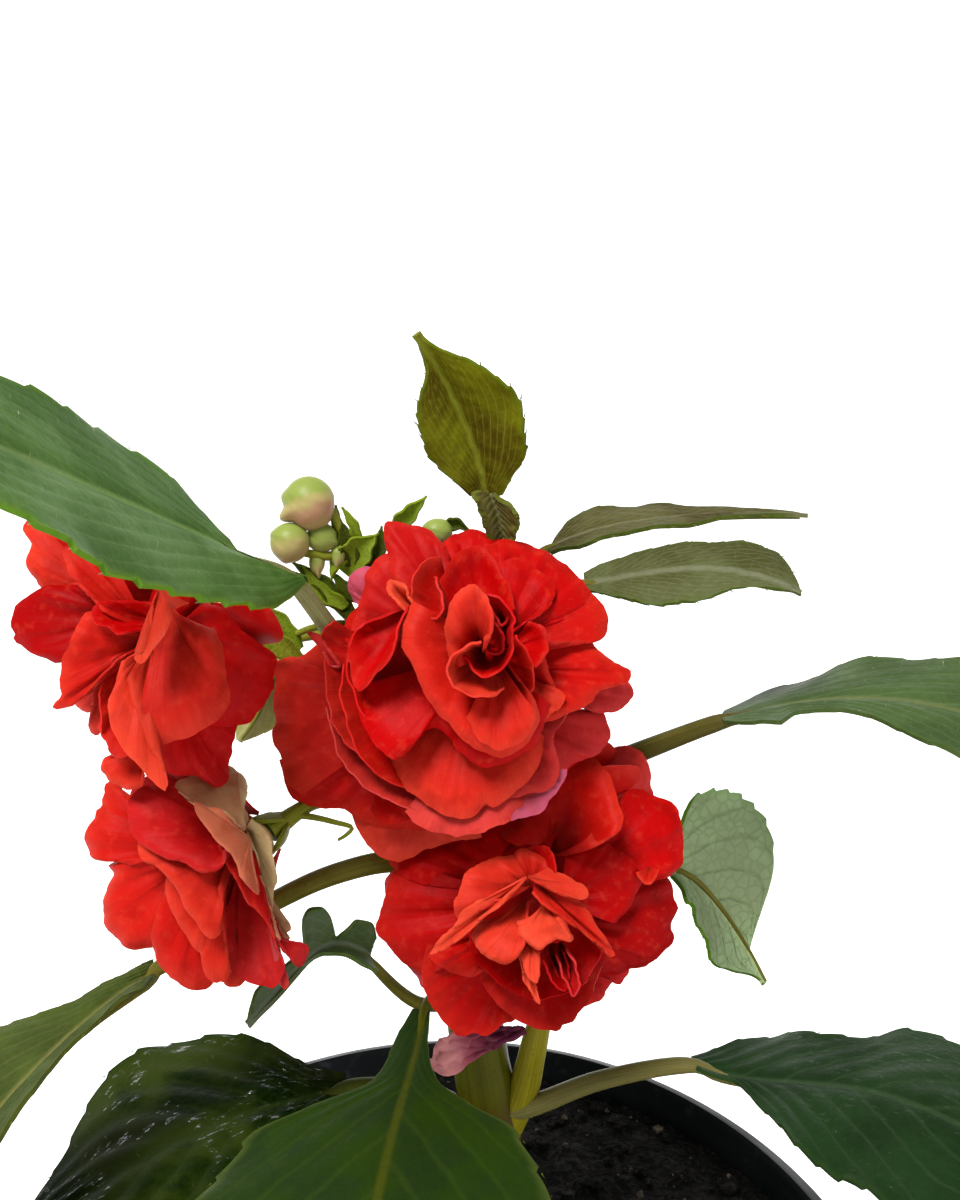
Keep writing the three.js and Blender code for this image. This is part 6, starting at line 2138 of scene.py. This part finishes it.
BLOOMS = (
    Bloom("centre", (2, -6, 196), (0.15, -0.82, 0.55), (
        Ring((2.6, -4.5), (180, 215, 256, 298, 340), 13, 9, (102, 128)),
        Ring((2.6, -4), (25, 70, 115), 14, 9.5, (80, 112)),
    ), CENTRE_PETALS, ((3, 9, 190), (1, 5.5, 191.5))),
    Bloom("low", (10, -4, 173), (0.12, -0.93, -0.15), (
        Ring((2.6, -4), (340, 22, 155, 200, 245, 290), 15, 9.5, (78, 112)),
        Ring((2.6, -4), (60, 105), 15.5, 9.5, (80, 108)),
    ), LOW_PETALS, ((19.5, 6.5, 172), (14.5, 6.5, 174))),
    Bloom("left", (-30.8, -5, 207), (-0.05, -0.95, -0.2), (
        Ring((2.6, -3.6), (145, 182, 222, 262), 15, 9.5, (68, 104)),
        Ring((2.6, -3.6), (285, 320), 10, 7.5, (68, 104)),
        Ring((2.6, -3.2), (105,), 7, 6, (62, 104)),
    ), LEFT_PETALS, ((3, 9, 184), (-8, 9, 189), (-18.5, 6, 196.5), (-25, 4.5, 203.5))),
    Bloom("side", (-23, -9.5, 178), (-0.72, -0.62, -0.3), (
        Ring((2.6, -3.4), (185, 232), 10, 8, (60, 92), 0.2, 0.3),
        Ring((2.6, -3.4), (135,), 7.5, 4, (60, 84), 0.2),
        Ring((2.6, -3.4), (282,), 8, 2.6, (38, 60), 0.2, 0.3),
        Ring((2.4, 0.4), (140, 180, 220), 12, 7.5, (24, 54), 0.2, 0.4),
    ), SIDE_PETALS, ((2.5, 8, 176), (-8, 4, 177), (-14, 0, 179.5)),
        ((247, 840, 148), (254, 824, 147.4), (272, 817, 147), (292, 815, 146.8), (312, 817, 146.8),
         (334, 822, 146.8), (352, 828, 147), (346, 835, 147), (338, 840, 147)), 0.6),
)


# ------------------------------------------------------------------ buds and fallen petals


@dataclass
class Bud:
    """A bud as it shows in the frame: a round body drawn out to its tips.

    Each tip gives a direction in the frame, in degrees, and how far it stands out as a share.
    """

    spot: Vec
    size: Pair
    tips: tuple[Pair, ...] = ()
    ripe: Pair = (0.0, 1.0)

    tip_spread = 0.24
    seam_depth = 0.05
    scale_step = 0.035

    def reach(self, a: float, away: float, b: float) -> float:
        """How far the bud's skin stands out, as a share of its size.

        Args:
            a: Place on a round ball, to the right.
            away: The same place, away from the viewer.
            b: The same place, upwards.

        Returns:
            The share, 1 on a plain ball.
        """
        flat, angle = math.hypot(a, b), math.atan2(b, a)
        reach = 1.0
        for degrees, amount in self.tips:
            off = (angle - math.radians(degrees) + math.pi) % math.tau - math.pi
            reach += amount * bell(off, self.tip_spread) * flat**4
        turn = math.atan2(away, a) + 1.3 * b
        reach -= self.seam_depth * bell(math.sin(1.5 * turn), 0.1) * clamp01(1.1 - abs(b))
        line = 0.12 + 0.2 * math.sin(2 * turn)
        return reach + self.scale_step * ease((b - line) / 0.05 + 0.5)

    def build(self) -> Piece:
        """Builds the bud.

        Returns:
            Its mesh, in place.
        """
        fresh()
        bpy.ops.mesh.primitive_uv_sphere_add(segments=48, ring_count=32, radius=1)
        bud = bpy.context.object
        centre, forward = SIGHT.spot(*self.spot), SIGHT.forward
        right = Vector((1, 0, 0))
        up = right.cross(forward)
        width, height = self.size
        ripe = []
        for vertex in bud.data.vertices:
            a, away, b = vertex.co
            out = right * a * width + up * b * height + forward * away * min(self.size)
            ripe.append(lerp(*self.ripe, clamp01((0.9 - b + 0.35 * a) / 1.8)))
            vertex.co = (centre + out * self.reach(a, away, b)) * MM
        add_mark(bud, "ripe", ripe)
        return coat(bud, paints(BUD))


@dataclass
class Bract:
    """A small pointed leaflet, laid along spots of the frame."""

    path: tuple[Vec, ...]
    half: float = 1.0
    finish: StemFinish = BRACT
    twist: float = 0.5

    def build(self) -> Piece:
        """Builds the leaflet.

        Returns:
            Its mesh, in place.
        """
        middle = SIGHT.line(self.path, 19)
        side = (middle[-1] - middle[0]).cross(SIGHT.forward).normalized()

        def spot(share: float, across: float) -> Vector:
            """Place on the leaflet.

            Args:
                share: How far along it, from 0 to 1.
                across: How far across, from -1 to 1.

            Returns:
                The place in millimetres.
            """
            k, part = step(share, len(middle))
            half = self.half * math.sin(math.pi * min(share + 0.08, 1) ** 0.75) ** 0.8 + 0.06
            half *= 1 + 0.12 * math.sin(19 * share + 2 * across)
            lift = 0.5 * half * across**2 + self.twist * half * across * math.sin(2.6 * share)
            return middle[k].lerp(middle[k + 1], part) + side * half * across - SIGHT.forward * lift

        sheet = spread(10, 22, spot)
        thicken(sheet, 0.35, back=0)
        return coat(sheet, paints(self.finish))


@dataclass
class Spray:
    """Young stalks that end in buds and in narrow pointed leaflets."""

    node: str
    stalks: tuple[tuple[float, tuple[Vec, ...]], ...]
    buds: tuple[Bud, ...]
    bracts: tuple[Bract, ...]

    def build(self) -> Piece:
        """Builds the spray in place of its CAD node.

        Returns:
            The spray.
        """
        pieces = []
        for radius, path in self.stalks:
            stalk = tube(SIGHT.line(path, 30), (radius * 1.2, radius, radius * 0.85), 12)
            pieces.append(coat(stalk, paints(STALK)))
        pieces += [part.build() for part in (*self.buds, *self.bracts)]
        return settle(joined(self.node, pieces), f"{self.node}_green", Slot.BUD, self.node)


SPRAYS = (
    Spray(
        "bud_spray_left",
        ((0.75, ((482, 605, 155), (428, 581, 154), (385, 562, 151), (352, 548, 149), (341, 530, 147.6),
                 (331, 510, 146.8))),
         (0.6, ((352, 548, 149), (330, 556, 147.5), (300, 552, 146.6))),
         (0.55, ((354, 552, 149), (338, 548, 147.6), (324, 540, 147.2))),
         (0.5, ((395, 566, 151.5), (372, 640, 151), (348, 618, 150), (332, 602, 149), (318, 585, 148))),
         (0.5, ((372, 632, 153), (345, 624, 152), (312, 628, 151), (296, 634, 151)))),
        (Bud((309, 504, 146.3), (3.1, 3.28),
             ((168, 0.12), (206, 0.3), (188, -0.06), (232, -0.1), (315, 0.05))),
         Bud((290, 543, 146), (2.4, 2.4), ((150, 0.06), (255, 0.08)), (0.22, 0.6)),
         Bud((322, 538, 147.4), (1.9, 1.8), ((200, 0.12), (340, 0.2)), (0.1, 0.42)),
         Bud((317, 562, 147.6), (1.0, 1.5), ((282, 0.4),), (0.1, 0.55)),
         Bud((338, 555, 147.6), (0.9, 1.3), ((262, 0.35),), (0.1, 0.5))),
        (Bract(((358, 545, 148), (354, 526, 147), (342, 507, 146.6)), 0.55, twist=0.2),
         Bract(((346, 548, 148.4), (338, 526, 147.4), (336, 505, 147)), 0.65, BRACT_DARK),
         Bract(((352, 566, 148.6), (349, 545, 147.6), (340, 519, 147)), 1.0, BRACT_DARK),
         Bract(((350, 555, 149), (336, 562, 148), (331, 580, 147.6)), 0.75),
         Bract(((347, 575, 149), (358, 552, 148), (379, 533, 148)), 1.9, twist=0.3),
         Bract(((366, 566, 149.4), (378, 548, 149), (382, 526, 149)), 1.0, BRACT_DARK),
         Bract(((352, 614, 149), (322, 584, 148), (290, 560, 147)), 1.1, BRACT_DARK),
         Bract(((346, 607, 148.4), (322, 592, 147.6), (303, 566, 147)), 0.9),
         Bract(((366, 602, 149.4), (348, 590, 148.4), (331, 571, 148)), 0.8, BRACT_DARK),
         Bract(((300, 660, 151), (264, 634, 150), (228, 612, 149)), 1.3, STALK),
         Bract(((300, 650, 152), (276, 618, 151), (250, 602, 150)), 1.1)),
    ),
    Spray(
        "bud_spray_middle",
        ((0.65, ((486, 588, 155.5), (462, 560, 151.5), (438, 538, 148.2))),),
        (Bud((437, 533, 148.4), (1.95, 1.75), ((60, 0.04),), (0.12, 0.45)),),
        (Bract(((440, 532, 149), (456, 524, 148.6), (470, 531, 148.4)), 0.75, BRACT_DARK),
         Bract(((392, 534, 150), (408, 516, 149), (427, 496, 148.6)), 1.0)),
    ),
)


@dataclass
class SpentPetal:
    """A faded, crumpled petal that has dropped onto the foot of the front leaf."""

    rib: Rib = ((-2, -2, 142), (1.5, -2, 144), (5.5, -1.5, 145.5), (10.5, 0, 146))
    left: Half = ((-1, 1, 3), (-1, 1, 2.5))
    right: Half = ((1, -1, -2.5), (1, -1, -2))
    thickness: float = 0.4
    crumple: float = 0.7

    def build(self) -> Piece:
        """Builds the petal in place of its CAD node.

        Returns:
            The petal.
        """
        curve = RibCurve(self.rib)

        def spot(share: float, side: float) -> Vector:
            """Place on the crumpled sheet.

            Args:
                share: How far along the rib, from 0 to 1.
                side: How far across, from -1 to 1.

            Returns:
                The place in millimetres.
            """
            out = between(self.left if side < 0 else self.right, share)
            lobe = 0.62 + 0.38 * bell(share - 0.16, 0.2)
            width = max(math.sin(math.pi * share**0.87) ** 0.6 * out.length * lobe, 0.35)
            crumple = noise.noise_vector(Vector((share * 8, side * 2.2, 3))) * self.crumple
            return curve.point(share) + out.normalized() * abs(side) * width + crumple

        sheet = spread(20, 34, spot, tone=lambda s, t: 1.6 - 3.2 * s, age=lambda s, t: 0.6 - 0.9 * s,
                       pale=0.0)
        coat(sheet, paints(SPENT), paints(SPENT))
        thicken(sheet, self.thickness)
        return settle(sheet, "spent_petal_sheet", Slot.SPENT, "spent_petal", angle=75)


# ------------------------------------------------------------------ studio


@dataclass
class Studio:
    """White floor and backdrop, soft daylight from the upper left, and the camera, in metres."""

    air: float = 0.36
    key: float = 30.0
    fill: float = 2.5
    glow: float = 0.55
    aim: Vec = (0, 0, 0.17)
    width: float = 6.0
    length: float = 5.0
    wall: float = 1.0
    bend: float = 0.8
    bend_radius: float = 0.5
    below: float = 0.0004

    def cove(self) -> None:
        """Floor that curves up into the wall behind the plant."""
        fresh()
        bpy.ops.mesh.primitive_grid_add(x_subdivisions=8, y_subdivisions=40, size=1)
        cove = bpy.context.object
        for vertex in cove.data.vertices:
            way = (vertex.co.y + 0.5) * self.length - self.length / 2
            rise = max(0.0, way - self.wall)
            turn = clamp01(rise / self.bend) * math.pi / 2
            y = way if rise == 0 else self.wall + self.bend_radius * math.sin(turn)
            z = self.bend_radius * (1 - math.cos(turn)) + max(0.0, rise - self.bend)
            vertex.co = (vertex.co.x * self.width, y, z - self.below)
        paint = Shader("studio_white")
        paint.set(Base_Color=rgb(0.93, 0.93, 0.93), Roughness=0.9, Specular_IOR_Level=0.1)
        paint.set(Emission_Color=rgb(1, 1, 1), Emission_Strength=self.glow)
        only(coat(cove, paint.material))
        bpy.ops.object.shade_smooth()
        cove.name = "studio_cove"

    def lamp(self, name: str, at: Vec, size: float, power: float) -> None:
        """One square soft light, turned to the plant.

        Args:
            name: Its name.
            at: Its place in metres.
            size: Length of its side.
            power: Its power in watts.
        """
        light = bpy.data.lights.new(name, "AREA")
        light.shape, light.size, light.energy = "SQUARE", size, power
        lamp = placed(name, light)
        lamp.location = at
        lamp.rotation_euler = (Vector(self.aim) - Vector(at)).to_track_quat("-Z", "Y").to_euler()

    def camera(self) -> None:
        """The camera, at the eye of the view."""
        camera = bpy.data.cameras.new("view")
        camera.lens, camera.sensor_width, camera.sensor_fit = SIGHT.lens, SIGHT.sensor, "AUTO"
        camera.clip_start = 0.01
        eye = placed("view", camera)
        eye.location = Vector(SIGHT.eye) * MM
        eye.rotation_euler = (math.radians(90 - SIGHT.pitch), 0, 0)
        bpy.context.scene.camera = eye

    def build(self) -> None:
        """Sets the stage, the lights and the camera."""
        self.cove()
        world = bpy.data.worlds.new("studio_air")
        world.use_nodes = True
        air = world.node_tree.nodes["Background"].inputs
        air["Color"].default_value, air["Strength"].default_value = rgb(1, 1, 1), self.air
        bpy.context.scene.world = world
        bpy.context.scene.view_settings.view_transform = "Standard"
        self.lamp("key", (-0.4, -0.55, 1.35), 0.5, self.key)
        self.lamp("fill", (0.9, -0.7, 0.5), 0.8, self.fill)
        self.camera()


# ------------------------------------------------------------------ the plant


def main() -> None:
    """Builds every piece round the frame."""
    logging.basicConfig(level=logging.INFO, format="%(message)s")
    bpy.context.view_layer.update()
    noise.seed_set(NOISE_SEED)
    Pot().build()
    Soil().build()
    Shoot().build()
    for series, leaf in enumerate(LEAVES):
        leaf.series = series
        leaf.build()
    for series, bloom in enumerate(BLOOMS):
        bloom.build(series)
    for spray in SPRAYS:
        spray.build()
    SpentPetal().build()
    Studio().build()
    bpy.context.view_layer.update()
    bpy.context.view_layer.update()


if __name__ == "__main__":
    main()
